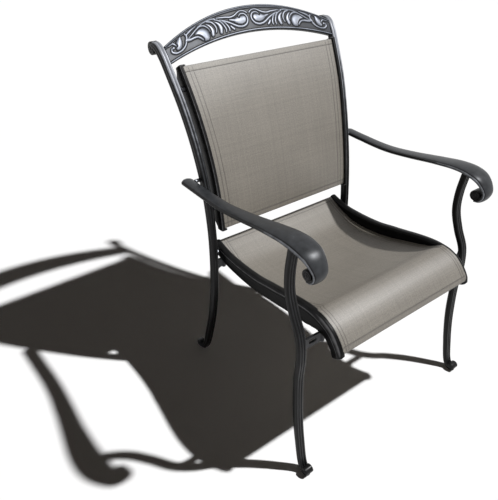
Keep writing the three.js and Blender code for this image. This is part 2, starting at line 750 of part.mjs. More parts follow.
// A ridge of the relief: a low dome carried along a stroke, its foot sunk in the field
function ridge(stroke) {
  const line = stroke.map(([along, up, radius]) => {
    const x = along * crestReach;
    const rise = lerp(crestMoulding, crestHeight(x) - crestMoulding, up);
    return { x, rise, radius: radius * crestMidHeight };
  });
  return loft(line.map(({ x, rise, radius }, step) => {
    const before = line[Math.max(0, step - 1)];
    const after = line[Math.min(line.length - 1, step + 1)];
    const run = new THREE.Vector2(after.x - before.x, after.rise - before.rise).setLength(radius);
    const tall = reliefTall * (1 - Math.exp(-radius / reliefTall));
    return ridgeShares.map(([across, out]) => onCrest(
      x - run.y * across,
      rise + run.x * across,
      crestRecess + lerp(reliefSunk, -tall, out),
    ));
  }));
}
const ridges = leafStrokeShares.map(ridge);
const crestBody = join(crestPlate, ...ridges, ...ridges.map(mirrored));

// Under side of the seat rails over a bar, for the top of that bar
function underRail(barY) {
  const line = stations(railLine, 200);
  const under = line.map((station) => offset(station, -railDepth(station.share)));
  const near = under.filter((point) => Math.abs(point.y - barY) <= barThickness / 2);
  return Math.min(...near.map((point) => point.z)) - clearance;
}

// A bar across the chair: flares up and down at its ends, and a slot near each end
function crossBar(barY, endX, up, down, run, slots) {
  const top = underRail(barY);
  const bottom = top - barHeight;
  const flare = (level, rise) => Array.from({ length: filletSteps + 1 }, (_, step) => {
    const angle = step / filletSteps * Math.PI / 2;
    const z = level + rise * (1 - Math.cos(angle));
    return [endX(z) - run * (1 - Math.sin(angle)), z];
  });
  const right = [...flare(top, up), ...flare(bottom, -down).toReversed()];
  const outline = [...right, ...right.toReversed().map(([x, z]) => [-x, z])];
  const holes = slots ? [1, -1].map((side) => slotOutline(
    side * (endX(bottom + barSlotRise) - barSlotInset), bottom + barSlotRise,
  )) : [];
  const bosses = [1, -1].map((side) => (
    rod('z', bottom, top, [side * railX, barY], barBossRadius, spacerSides)
  ));
  return join(plate(outline, holes, barY, barThickness), ...bosses);
}

// A slot with round ends
function slotOutline(centreX, centreZ) {
  const radius = barSlotHeight / 2;
  return [1, -1].flatMap((side) => Array.from({ length: filletSteps + 1 }, (_, step) => {
    const angle = (step / filletSteps - 1 / 2) * Math.PI;
    const middle = centreX + side * (barSlotLength / 2 - radius);
    return [middle + side * radius * Math.cos(angle), centreZ + side * radius * Math.sin(angle)];
  }));
}

const legInner = (z) => legX(z) - legWidth / 2 - clearance;
const postInner = (z) => postX(z) - postWidth / 2 - clearance;
const frontBar = crossBar(frontBarY, legInner, barFlareUp, barFlareDown, barFlareRun, true);
const rearBar = crossBar(rearBarY, postInner, 0, rearFlareDown, rearFlareRun, false);

// Spreaders that hold the rails of each sling apart
function spreader(line, y, halfWidth, drop) {
  const centre = offset(stationAt(line, 'y', y), -drop);
  return rod('x', -halfWidth, halfWidth, [centre.y, centre.z], spreaderRadius, spreaderSides);
}
const seatSpan = railInner - clearance;
const frontSpreader = spreader(slingLine, frontSpreaderY, seatSpan, spreaderDrop);
const rearSpreader = spreader(slingLine, rearSpreaderY, seatSpan, spreaderDrop);
const grownBackRail = sweep(backStations, backRailX, () => shifted(block(
  backRailWidth / 2 + clearance,
  -backRailDepth / 2 - clearance,
  backRailDepth / 2 + clearance,
)));
const behindSling = backSlingAhead - slingThickness / 2 - clearance - spreaderRadius;
function backSpreader(height) {
  const station = stationAt(postLine, 'z', height);
  const centre = offset(station, behindSling);
  const halfWidth = backRailX(station);
  const tube = rod('x', -halfWidth, halfWidth, [centre.y, centre.z], spreaderRadius, spreaderSides);
  return cut(tube, grownBackRail, mirrored(grownBackRail));
}

// Shoulder bolts: a collar trimmed to the two members beside it, with shanks into their holes
const shoulder = (from, to, centre, radius, before, after, neighbours) => join(
  cut(rod('x', from - overrun, to + overrun, centre, radius, spacerSides), ...neighbours),
  rod('x', from - before, to + after, centre, boltRadius, spacerSides),
);
const boltHole = (from, to, centre) => rod(
  'x', from - boltDepth - clearance, to + boltDepth + clearance, centre, boltRadius + clearance, spacerSides,
);
function backJoint(height) {
  const station = stationAt(postLine, 'z', height);
  const from = backRailX(station) + backRailWidth / 2;
  const centre = offset(station, backRailAhead / 2);
  return [from, from + railGap, [centre.y, centre.z]];
}
const backJoints = backSpacerHeights.map(backJoint);
const seatJointAt = offset(stationAt(railLine, 'y', rearBarY), -seatSpacerDrop);
const seatJoint = [railX + seatRailWidth / 2, postInner(seatJointAt.z), [seatJointAt.y, seatJointAt.z]];
const armStation = stationAt(armLine, 'y', armSpacerY);
const armJoint = [
  postX(armStation.point.z) + postWidth / 2,
  armCentre(armStation) - armWidth(armStation.share) / 2,
  [armStation.point.y, armStation.point.z],
];
const grownArm = sweep(armStations, armCentre, ({ share }) => block(
  armWidth(share) / 2 + clearance,
  -armUnder - clearance,
  armCrown * 2 + armRim,
));
const postHoles = [...backJoints, seatJoint, armJoint].map((joint) => boltHole(...joint));

// Bolts up through the bars into the seat rails
const barBolt = (bar) => {
  const top = underRail(bar);
  const bottom = top - barHeight;
  const centre = [railX, bar];
  return join(
    rod('z', bottom - clearance, top + boltDepth, centre, boltRadius, spacerSides),
    rod('z', bottom - clearance - boltHeadHeight, bottom - clearance, centre, boltHeadRadius, spacerSides),
  );
};
const barHole = (bar) => rod(
  'z', underRail(bar) - barHeight - overrun, underRail(bar) + boltDepth + clearance,
  [railX, bar], boltRadius + clearance, spacerSides,
);

// End caps pressed on the ends of the rails
function cap(station, direction, centreX, outline) {
  const middle = outline.reduce(([a, b], [c, d]) => [a + c / outline.length, b + d / outline.length], [0, 0]);
  const ring = (distance, inset) => outline.map(([across, out]) => {
    const arm = new THREE.Vector2(across - middle[0], out - middle[1]);
    arm.setLength(arm.length() - inset);
    return offset(station, middle[1] + arm.y)
      .addScaledVector(station.tangent, direction * distance)
      .setX(centreX + middle[0] + arm.x);
  });
  return loft([ring(clearance, 0), ring(clearance + capThickness - capTaper, 0),
    ring(clearance + capThickness, capTaper)]);
}
const first = (line) => line[0];
const last = (line) => line[line.length - 1];
const seatCap = (station, direction) => cap(station, direction, railX, railSection(0)(station));
const backCap = (station, direction) => cap(station, direction, backRailX(station), shifted(backOutline));

// The chair, piece by piece
const bothBarHoles = [barHole(frontBarY), barHole(rearBarY)];
const railTools = [slotTool, ...bothBarHoles, boltHole(...seatJoint)];
const grownRails = [railSweep(clearance), mirrored(railSweep(clearance))];
placePair('back_post', cut(postBody, glidePocket(postX(0), postFootY), ...postHoles), castFinish);
placePair('front_leg', cut(legBody, glidePocket(legX(0), legFoot[0]), underArm), castFinish);
placePair('armrest', armBody, castFinish);
place('crest_rail', cut(crestBody, grownPost, mirrored(grownPost)), crestFinish);
place('front_crossbar', cut(frontBar, ...grownRails, barHole(frontBarY), mirrored(barHole(frontBarY))), castFinish);
place('rear_crossbar', cut(rearBar, ...grownRails, barHole(rearBarY), mirrored(barHole(rearBarY))), castFinish);
placePair('seat_rail', cut(railSweep(0), ...railTools), railFinish);
placePair('back_rail', cut(backRail, ...backJoints.map((joint) => boltHole(...joint))), railFinish);
place('seat_sling', seatSling, slingFinish);
place('back_sling', backSling, slingFinish);
placePair('seat_cord', seatCord, cordFinish);
placePair('back_cord', backCord, cordFinish);
place('front_seat_spreader', frontSpreader, railFinish);
place('rear_seat_spreader', rearSpreader, railFinish);
place('lower_back_spreader', backSpreader(backRailBottom + backSpreaderInset), railFinish);
place('upper_back_spreader', backSpreader(backRailTop - backSpreaderInset), railFinish);
placePair('seat_front_cap', seatCap(first(railStations), -1), plasticFinish);
placePair('seat_rear_cap', seatCap(last(railStations), 1), plasticFinish);
placePair('back_lower_cap', backCap(first(backStations), -1), plasticFinish);
placePair('back_upper_cap', backCap(last(backStations), 1), plasticFinish);
placePair('front_glide', glide(legX(0), legFoot[0]), plasticFinish);
placePair('rear_glide', glide(postX(0), postFootY), plasticFinish);
placePair('front_bar_bolt', barBolt(frontBarY), steelFinish);
placePair('rear_bar_bolt', barBolt(rearBarY), steelFinish);
const backBolt = (joint) => (
  shoulder(...joint, spacerRadius, boltDepth, boltDepth, [grownPost, grownBackRail])
);
placePair('lower_back_bolt', backBolt(backJoints[0]), steelFinish);
placePair('upper_back_bolt', backBolt(backJoints[1]), steelFinish);
placePair('seat_post_bolt', shoulder(
  ...seatJoint, spacerRadius, boltDepth, boltDepth, [grownPost, railSweep(clearance)],
), steelFinish);
placePair('arm_post_bolt', shoulder(
  ...armJoint, armSpacerRadius, boltDepth, -overrun, [grownPost, grownArm],
), steelFinish);

// The middle of the chair's footprint goes to the origin
const bounds = new THREE.Box3().setFromObject(chair);
chair.position.y = -(bounds.min.y + bounds.max.y) / 2;

export default chair;
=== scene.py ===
# %% [markdown]
# # A patio dining chair with two woven slings
# The chair is a dark, powder-coated cast frame that carries a seat and a back of coated mesh.
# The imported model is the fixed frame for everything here: each piece below is drawn in metres,
# in the same place as the solid it stands for, so nothing has to be fitted afterwards.

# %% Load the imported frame
import math
from functools import partial
import bpy
import numpy as np
from mathutils import Matrix, Vector


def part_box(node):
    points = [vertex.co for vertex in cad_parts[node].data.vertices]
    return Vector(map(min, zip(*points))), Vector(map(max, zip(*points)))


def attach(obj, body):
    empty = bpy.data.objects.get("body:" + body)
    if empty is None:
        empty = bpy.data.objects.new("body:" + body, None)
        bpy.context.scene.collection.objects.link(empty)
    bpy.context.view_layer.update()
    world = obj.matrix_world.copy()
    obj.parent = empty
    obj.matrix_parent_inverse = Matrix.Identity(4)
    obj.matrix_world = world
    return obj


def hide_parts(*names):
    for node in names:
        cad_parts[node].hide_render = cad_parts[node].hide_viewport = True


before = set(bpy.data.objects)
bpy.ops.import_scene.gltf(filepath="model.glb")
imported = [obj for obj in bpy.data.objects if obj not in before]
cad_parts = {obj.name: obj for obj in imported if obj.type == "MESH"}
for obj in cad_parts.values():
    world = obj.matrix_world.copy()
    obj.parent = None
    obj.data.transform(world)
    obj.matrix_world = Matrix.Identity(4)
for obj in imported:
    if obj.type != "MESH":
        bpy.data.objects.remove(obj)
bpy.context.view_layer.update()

# %% [markdown]
# ## The camera
# The photograph was taken from the front left and from above, with the camera a little tilted.
# A camera matrix holds its right, up and backward directions as columns, then its place. It
# could also be aimed with a constraint, but then the tilt would need a second step. The angles are
# azimuth, elevation and roll. They and the lens come from the chair's own left-right symmetry.

# %% Units, a short name to join arrays with, and the place of the frame
MM, join = 0.001, np.concatenate
bar_low, bar_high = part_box("rear_crossbar")
SHIFT_Y = (bar_low[1] + bar_high[1]) / 2 - 179 * MM
print("the drawing's origin lies", round(SHIFT_Y / MM, 2), "mm along Y")

# %% Make the camera
def new_object(name, data):
    """An object at the origin of the scene that shows the data."""
    made = bpy.data.objects.new(name, data)
    bpy.context.scene.collection.objects.link(made)
    return made


CAMERA_PLACE, CAMERA_TURN, LENS = (-0.82341, -0.85055 + SHIFT_Y, 1.14627), (-33.9, 31.45, -3.25), 36.183
azimuth, elevation, roll = (math.radians(angle) for angle in CAMERA_TURN)
backward = Vector((math.sin(azimuth) * math.cos(elevation),
                   -math.cos(azimuth) * math.cos(elevation), math.sin(elevation)))
level = (-backward).cross(Vector((0, 0, 1))).normalized()
upright = level.cross(-backward)
right = math.cos(roll) * level + math.sin(roll) * upright
up = -math.sin(roll) * level + math.cos(roll) * upright
camera = bpy.context.scene.camera = new_object("camera", bpy.data.cameras.new("camera"))
camera.matrix_world = Matrix.Translation(CAMERA_PLACE) @ Matrix((right, up, backward)).transposed().to_4x4()
camera.data.sensor_width, camera.data.lens = 36, LENS
print("camera at", [round(value, 3) for value in camera.location])

# %% [markdown]
# ## Curves and sections
# Every casting and extrusion of this chair is a flat side view that a section travels along.
# A side view is a smooth curve through a few points, given as shares of a reach and a height.
# Bezier curves with a bevel object would also work, but a section that changes its width and
# depth on the way is simpler to work out as arrays.

# %% Smooth curves through points
def curve_through(points, per=40):
    """A centripetal Catmull-Rom curve: between two points it is a cubic whose slopes come
    from the square roots of the distances to the neighbours, so it never overshoots."""
    p = np.asarray(points, float)
    p = np.vstack([2 * p[0] - p[1], p, 2 * p[-1] - p[-2]])
    p0, p1, p2, p3 = p[:-3], p[1:-2], p[2:-1], p[3:]
    gap = lambda a, b: np.maximum(np.linalg.norm(b - a, axis=1) ** 0.5, 1e-6)[:, None]
    d0, d1, d2 = gap(p0, p1), gap(p1, p2), gap(p2, p3)
    t1 = ((p1 - p0) / d0 - (p2 - p0) / (d0 + d1) + (p2 - p1) / d1) * d1
    t2 = ((p2 - p1) / d1 - (p3 - p1) / (d1 + d2) + (p3 - p2) / d2) * d1
    s = (np.arange(per) / per)[None, :, None]
    a, b, c, e = (v[:, None] for v in (p1, t1, -3 * p1 + 3 * p2 - 2 * t1 - t2, 2 * p1 - 2 * p2 + t1 + t2))
    return np.vstack([(a + b * s + c * s ** 2 + e * s ** 3).reshape(-1, p.shape[1]), p2[-1]])


def reading(table, key, smooth=True):
    """The value of a table of (key, value) pairs at a key, along a smooth curve or straight lines."""
    keys, values = (curve_through(table, 12) if smooth else np.asarray(table, float)).T
    return np.interp(key, keys, values)


def smooth_step(value, start, end):
    """0 before start and 1 after end, with t squared times (3 - 2 t) between them."""
    t = np.clip((value - start) / (end - start), 0, 1)
    return t * t * (3 - 2 * t)


# %% Side views and their stations
def side_view(shares, origin, span):
    """Curve through origin + share * span in the YZ plane, with its running length and heading."""
    yz = curve_through(np.asarray(shares) * np.asarray(span) * MM + np.asarray(origin) * MM)
    yz[:, 0] += SHIFT_Y
    run = join([[0], np.cumsum(np.linalg.norm(np.diff(yz, axis=0), axis=1))])
    heading = np.gradient(yz, run, axis=0)
    return {"yz": yz, "run": run, "heading": heading}


def stations(path, shares):
    """Place, heading and normal at shares of a side view's length; the normal points ahead or up."""
    run = np.asarray(shares, float) * path["run"][-1]
    pick = lambda columns: np.stack([np.interp(run, path["run"], column) for column in columns.T], -1)
    place, heading = pick(path["yz"]), pick(path["heading"])
    heading /= np.linalg.norm(heading, axis=1)[:, None]
    return place, heading, np.stack([-heading[:, 1], heading[:, 0]], -1)


def share_at(path, axis, value):
    """The share of its length at which a side view first meets a value of y (0) or z (1)."""
    line = path["yz"][:, axis]
    rising = line[-1] > line[0]
    return path["run"][np.argmax(line >= value if rising else line <= value)] / path["run"][-1]


# %% Carry a section along a side view
def carry(place, normal, middle_x, across, out):
    """Ring points: x is the path's middle plus across, and (y, z) is the place plus out times
    the normal. Across and out have one row for each station and one column for each corner."""
    x = np.broadcast_to(np.asarray(middle_x)[:, None] + across, np.broadcast_shapes(across.shape, out.shape))
    yz = place[:, None] + out[..., None] * normal[:, None]
    return join([x[..., None], np.broadcast_to(yz, x.shape + (2,))], -1)


def half_section(points, per=3):
    """A section listed from its front middle to its back middle, smoothed and mirrored."""
    half = curve_through(points, per)
    return np.vstack([half, half[-2:0:-1] * (-1, 1)]).T


# %% Skins: rows of rings closed with a face at each end
def skin(rings, wear_and_painted_light=None):
    """Quads between neighbouring rings, and one many-sided face over the first and the last. The
    sign of six times the volume, a sum of dot and cross products, says which way they point."""
    rows, sides = rings.shape[:2]
    row, side = np.meshgrid(np.arange(rows - 1), np.arange(sides), indexing="ij")
    here, beside = row * sides + side, row * sides + (side + 1) % sides
    quads = np.stack([here, beside, beside + sides, here + sides], -1).reshape(-1, 4)
    first, last = np.arange(sides)[None, ::-1], (rows - 1) * sides + np.arange(sides)[None]
    part = {"at": rings.reshape(-1, 3), "faces": [quads, first, last],
            "wear_and_painted_light": np.full(rows * sides, 0.5) if wear_and_painted_light is None else np.broadcast_to(wear_and_painted_light, (rows, sides)).reshape(-1)}
    one, two, three, four = (part["at"][quads[:, index]] for index in range(4))
    volume = np.einsum("ij,ij->", one, np.cross(two, three) + np.cross(three, four))
    return part if volume > 0 else {**part, "faces": [face[:, ::-1] for face in part["faces"]]}


def twin(part):
    """The same part on the other side: x changes its sign, and the faces turn round to stay outside."""
    return {**part, "at": part["at"] * (-1, 1, 1), "faces": [face[:, ::-1] for face in part["faces"]]}


# %% Put parts into one mesh object
def point_values(mesh, name, values):
    """An attribute with one number for each point, for a material to read."""
    mesh.attributes.new(name, "FLOAT", "POINT").data.foreach_set("value", values.astype(np.float32))


def piece(name, parts, finish, nodes=(), sharp=38):
    """One object from one or more skins, riding on the chair and standing for its CAD nodes."""
    starts = np.cumsum([0] + [len(part["at"]) for part in parts])
    faces = [face for part, start in zip(parts, starts) for block in part["faces"]
             for face in (block + start).tolist()]
    mesh = bpy.data.meshes.new(name)
    mesh.from_pydata(join([part["at"] for part in parts]), [], faces)
    point_values(mesh, "wear_and_painted_light", join([part["wear_and_painted_light"] for part in parts]))
    mesh.polygons.foreach_set("use_smooth", np.ones(len(faces), bool))
    mesh.set_sharp_from_angle(angle=math.radians(sharp))
    mesh.materials.append(finish)
    made = new_object(name, mesh)
    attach(made, "root")
    if nodes:
        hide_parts(*nodes)
    print(name, len(faces), "faces")
    return made


def pair(name, parts, finish, nodes=(), sharp=38):
    """The piece on the right side, and its twin on the left."""
    return [piece(f"{name}_{side}", chosen, finish, [f"{node}_{side}" for node in nodes], sharp)
            for side, chosen in (("right", parts), ("left", [twin(part) for part in parts]))]


# %% [markdown]
# ## Finishes
# Each finish is a node material. A small helper adds a node and links its inputs in one call,
# which keeps the recipes short. Patterns read Object coordinates, because every piece sits at
# the origin, or a piece's own attribute where they follow its shape.

# %% A helper for node recipes
def paint(red, green, blue):
    """A colour given as it looks on a screen, 0 to 255, turned into linear light."""
    share = np.array([red, green, blue]) / 255
    return tuple(np.where(share <= 0.04045, share / 12.92, ((share + 0.055) / 1.055) ** 2.4).tolist())


class Recipe:
    """Adds nodes one by one to a new material, or to the tree of a lamp or of the world."""
    def __init__(self, name, tree=None):
        """Take the given tree, or make a material and take its tree."""
        if tree is None:
            self.material = bpy.data.materials.new(name)
            self.material.use_nodes = True
        self.tree = tree or self.material.node_tree

    def add(self, kind, inputs=(), output=0, **settings):
        """Add a node with its inputs and settings, and give one of its outputs."""
        node = self.tree.nodes.new("ShaderNode" + kind)
        for key, value in settings.items():
            setattr(node, key, value)
        for key, value in dict(inputs).items():
            self.feed(node.inputs[key], value)
        return node.outputs[output]

    def feed(self, socket, value):
        """Link an output to the socket, or set the socket to a plain value."""
        if isinstance(value, bpy.types.NodeSocket):
            self.tree.links.new(value, socket)
        else:
            socket.default_value = value

    def math(self, operation, *values):
        """The result of a sum, a product or the like."""
        return self.add("Math", enumerate(values), operation=operation)

    def ramp(self, factor, *stops):
        """A colour from stops, each a place on the ramp and a colour of 0 to 255."""
        node = self.tree.nodes.new("ShaderNodeValToRGB")
        self.feed(node.inputs[0], factor)
        while len(node.color_ramp.elements) < len(stops):
            node.color_ramp.elements.new(1)
        for element, (where, colour) in zip(node.color_ramp.elements, stops):
            element.position, element.color = where, (*paint(*colour), 1)
        return node.outputs[0]

    def noise(self, where, scale, detail=3, roughness=0.55):
        """Cloudy noise between 0 and 1."""
        return self.add("TexNoise", {"Vector": where, "Scale": scale, "Detail": detail, "Roughness": roughness})

    def bump(self, height, strength, distance):
        """A normal that is tilted by the slopes of a height."""
        return self.add("Bump", {"Height": height, "Strength": strength, "Distance": distance})

    def finish(self, **sockets):
        """Feed the sockets of the shader, named with underscores, and give the material."""
        shader = self.tree.nodes["Principled BSDF"]
        for name, value in sockets.items():
            self.feed(shader.inputs[name.replace("_", " ").title().replace("Ior", "IOR")], value)
        return self.material


# %% [markdown]
# ### Powder coat
# The castings have a charcoal powder coat with a slight pewter sheen. Reeds and edges are painted
# lighter, partly as rubbed wear and partly as painted highlights, and grooves, sides and under sides
# are painted darker as painted shade. A painted image could hold that, but here the shape gives it:
# the wear_and_painted_light attribute says how light each point of a new piece is, and a cloud blurs
# it a little. Pieces that keep their CAD shape have no such attribute, and there the cloud alone
# gives the shades.

# %% Make the coats
def coat(name, shades, roughness, metal, shine=0.5, cloud_scale=60, follows_attribute=True):
    """The shade is the wear and painted light plus 0.36 times (cloud minus a half), or the cloud alone."""
    recipe = Recipe(name)
    where = recipe.add("TexCoord", output=3)
    shade = cloud = recipe.noise(where, cloud_scale, 4)
    if follows_attribute:
        wear_and_painted_light = recipe.add("Attribute", output=2, attribute_name="wear_and_painted_light")
        shade = recipe.math("ADD", wear_and_painted_light, recipe.math("MULTIPLY", recipe.math("SUBTRACT", cloud, 0.5), 0.36))
    colour = recipe.ramp(shade, *zip((0.06, 0.42, 0.72, 1.0) if follows_attribute else (0.25, 0.55, 0.85), shades))
    gloss = recipe.math("ADD", roughness - 0.1, recipe.math("MULTIPLY", cloud, 0.2))
    return recipe.finish(base_color=colour, roughness=gloss, metallic=metal, specular_ior_level=shine,
                         normal=recipe.bump(recipe.noise(where, 900, 2), 0.25, 0.00012))


cast_shades = (5, 5, 5), (22, 22, 23), (60, 62, 65), (162, 165, 172)
# The rails' coat is a darker copy of the cast coat: painted shade, because the rails mostly sit in shade.
rail_shaded_colours = (3, 3, 3), (9, 9, 9), (38, 38, 39), (120, 120, 122)
# The crest's coat is a lighter copy of the cast coat: a painted sheen for the light that its upturned face catches.
crest_lit_colours = (7, 8, 11), (46, 50, 58), (98, 103, 113), (162, 166, 176)
bar_shades, tube_shades = ((22, 22, 23), (44, 45, 47), (66, 67, 70)), ((16, 15, 15), (30, 29, 29), (46, 45, 46))
cast_paint = coat("cast_paint", cast_shades, 0.35, 0.15, 0.19)
rail_paint_shaded_copy = coat("rail_paint_shaded_copy", rail_shaded_colours, 0.38, 0.03, 0.09)
crest_paint_lit_copy = coat("crest_paint_lit_copy", crest_lit_colours, 0.42, 0.3, 0.34)
bar_paint = coat("bar_paint", bar_shades, 0.42, 0.5, cloud_scale=45, follows_attribute=False)
tube_paint = coat("tube_paint", tube_shades, 0.45, 0.4, cloud_scale=45, follows_attribute=False)
print("coats made")

# %% [markdown]
# ### Plastic, steel and thread
# End caps and glides are plain black moulded nylon with a faint orange-peel skin. The bolts are
# brushed steel under a worn dark coat, and the thread is twisted. Flat colours would do from afar,
# but a little noise in the colour and the gloss holds up when a piece is looked at closely.

# %% Make the small finishes
def plastic_finish():
    """Black nylon, lightly mottled, with a fine orange-peel skin."""
    recipe = Recipe("black_nylon")
    where = recipe.add("TexCoord", output=3)
    cloud, peel = recipe.noise(where, 90, 3), recipe.noise(where, 1400, 2)
    colour = recipe.ramp(cloud, (0.3, (17, 17, 18)), (0.7, (27, 27, 28)))
    gloss = recipe.math("ADD", 0.42, recipe.math("MULTIPLY", cloud, 0.2))
    return recipe.finish(base_color=colour, roughness=gloss, normal=recipe.bump(peel, 0.2, 0.0001))


def steel_finish():
    """Steel brushed along X, with clouds of a worn dark coat."""
    recipe = Recipe("brushed_steel")
    where = recipe.add("TexCoord", output=3)
    along = recipe.add("Mapping", {"Vector": where, "Scale": (60, 2400, 2400)})
    brushed, cloud = recipe.noise(along, 1, 3), recipe.noise(where, 120, 3)
    colour = recipe.ramp(cloud, (0.3, (52, 53, 56)), (0.75, (112, 114, 118)))
    gloss = recipe.math("ADD", 0.28, recipe.math("MULTIPLY", brushed, 0.25))
    return recipe.finish(base_color=colour, roughness=gloss, metallic=0.9, normal=recipe.bump(brushed, 0.15, 0.00005))


def cord_finish(name, dark, light, pitch=0.0012):
    """Strands whose wave repeats once in a pitch, laid askew."""
    recipe = Recipe(name)
    twist = recipe.add("Mapping", {"Vector": recipe.add("TexCoord", output=3), "Rotation": (0.6, 0.5, 0)})
    wave = {"Vector": twist, "Scale": 0.314 / pitch, "Distortion": 0.6, "Detail": 1.0}
    strands = recipe.add("TexWave", wave, output=1)
    colour = recipe.ramp(strands, (0.1, dark), (0.9, light))
    return recipe.finish(base_color=colour, roughness=0.75, normal=recipe.bump(strands, 0.4, 0.0002))


black_nylon, bolt_steel = plastic_finish(), steel_finish()
edge_cord = cord_finish("edge_cord", (26, 25, 24), (52, 50, 47))
thread = cord_finish("stitch_thread", (66, 61, 55), (98, 92, 84), 0.0008)
print("small finishes made")

# %% [markdown]
# ### Coated mesh
# The slings are a plain weave of taupe, vinyl-coated yarns, a little over a millimetre apart.
# The pattern reads the cloth's own UV map, which is laid out in metres, so that the yarns follow
# every bend of the cloth. Each yarn has its own shade, streaks run along the yarns, and a fine
# grain stands for the knots of the weave. Seams, folded ends and edges dip in and are painted darker,
# as painted shade in their creases: each point knows how far it is from the cloth's side edge and
# from its end.

# %% Make the cloth finish
HEM = 14 * MM
SEAT_SEAMS, BACK_SEAMS = (0.009, 0.017), (0.015, 0.026)


def cloth_finish(name, seams_at, pitch=0.00125):
    """Height of a plain weave: one set of round yarns times the place where it lies on top,
    or the other set where it doesn't. The crease dip and shade is 1 minus the distance from a seam
    over its width, for the seams beside the edges, for the hem and for the edges themselves; it dips
    the bump and paints shade into the colour."""
    recipe = Recipe(name)
    plus, minus, times, over, most = (partial(recipe.math, operation) for operation in
                                      ("ADD", "SUBTRACT", "MULTIPLY", "DIVIDE", "MAXIMUM"))

    def near(value, at, wide):
        """1 where the value is met, down to 0 at the width away from it."""
        away = recipe.math("ABSOLUTE", minus(value, at))
        return most(minus(1.0, over(away, wide)), 0.0)

    from_edge, from_end = (recipe.add("Attribute", output=2, attribute_name=distance)
                           for distance in ("from_edge", "from_end"))
    lines = [(from_end, HEM, 0.0034), (from_end, 0.0, 0.0034)] + [(from_edge, at, 0.0022) for at in seams_at]
    crease_dip_and_shade = near(from_edge, 0.0, 0.0035)
    for line in lines:
        crease_dip_and_shade = most(crease_dip_and_shade, near(*line))
    cloth = recipe.add("UVMap", uv_map="cloth")
    yarn = [over(recipe.add("SeparateXYZ", {"Vector": cloth}, axis), pitch) for axis in (0, 1)]
    number = [recipe.math("FLOOR", value) for value in yarn]
    ridge = [recipe.math("ABSOLUTE", recipe.math("SINE", times(value, math.pi))) for value in yarn]
    swap = times(minus(recipe.math("PINGPONG", plus(*number), 1.0), 0.5), 0.7)
    height = most(times(ridge[0], plus(0.55, swap)), times(ridge[1], minus(0.45, swap)))
    tint = [recipe.add("TexWhiteNoise", {"W": value}, noise_dimensions="1D") for value in number]
    streaks, bands = (recipe.noise(recipe.add("Mapping", {"Vector": cloth, "Scale": scale}), 1, 3)
                      for scale in ((420, 9, 1), (7, 300, 1)))
    cloud, grain = recipe.noise(cloth, 9, 3), recipe.noise(cloth, 290, 2, 0.7)
    mix = times(height, 0.24)
    for value, share in zip((*tint, streaks, bands, cloud, grain, crease_dip_and_shade), (0.1, 0.08, 0.11, 0.09, 0.2, 0.62, -0.36)):
        mix = plus(mix, times(value, share))
    colour = recipe.ramp(mix, (0.1, (42, 38, 33)), (0.4, (78, 73, 65)), (0.66, (103, 97, 88)), (1.0, (133, 127, 116)))
    return recipe.finish(base_color=colour, roughness=minus(0.57, times(height, 0.08)), specular_ior_level=0.85,
                         ior=1.6, normal=recipe.bump(minus(height, times(crease_dip_and_shade, 1.1)), 0.3, 0.0003))


seat_mesh, back_mesh = cloth_finish("seat_mesh", SEAT_SEAMS), cloth_finish("back_mesh", BACK_SEAMS)
print("cloth finish made")

# %% [markdown]
# ## Back posts
# Each post is one casting that runs from a small scroll on the floor, forward under the seat,
# back up behind the sling and over into a larger scroll. Two reeds run down its front. A bevelled
# curve could carry one fixed section, but this one tapers at its ends and leans out sideways with
# the height, so its rings are worked out as arrays.

# %% The posts' side view and lean
HALF_SPREAD, SEAT_BACK, SEAT_HEIGHT = 246.5 * MM, 179, 443
SEAT_LENGTH, SEAT_FRONT = 490, 179 + 24 - 490
POST_WIDTH, POST_DEPTH, POST_TIP, POST_HEIGHT, POST_REACH = 19 * MM, 23 * MM, 14 * MM, 941, 133
POST_LEAN, POST_SCROLL = 25, 20 * MM
post_shares = [
    (0.977, 0.012), (0.895, 0.012), (0.812, 0.017), (0.737, 0.03), (0.643, 0.053), (0.492, 0.106),
    (0.228, 0.213), (0.068, 0.319), (0.005, 0.425), (0.003, 0.531), (0.064, 0.638), (0.198, 0.744),
    (0.411, 0.85), (0.737, 0.956), (0.842, 0.984), (0.94, 1.001), (1.045, 1.008), (1.143, 1.006)]
post_lean_shares = [
    (0, 0.332), (0.106, 0.344), (0.213, 0.32), (0.319, 0.228), (0.425, 0.096), (0.478, 0.036),
    (0.531, 0), (0.638, 0.012), (0.744, 0.168), (0.85, 0.456), (0.956, 0.812), (1.01, 1)]
post_depth_shares = [(0, 0), (0.1, 1), (0.965, 1), (1, 0)]
post_section_shares = [
    (0, 0.8), (0.16, 0.92), (0.4, 1), (0.63, 0.95), (0.82, 0.76), (0.95, 0.48), (1, 0.2), (0.93, 0.1),
    (0.93, -0.12), (1, -0.22), (1, -0.72), (0.68, -1), (0, -1)]
post_path = side_view(post_shares, (SEAT_BACK, 0), (POST_REACH, POST_HEIGHT))


def post_middle(height):
    """How far a post's middle stands from the chair's middle at a height in metres."""
    return HALF_SPREAD + reading(post_lean_shares, height / (POST_HEIGHT * MM)) * POST_LEAN * MM


print("post runs", round(post_path["run"][-1], 3), "m")

# %% [markdown]
# ### Scrolls
# A cast scroll is a rolled end: a drum with a spiral groove in both of its faces and a hub in the
# middle. It is a surface of revolution whose side faces are pushed in along a spiral, so the
# groove is part of the shape and not only of its shading.

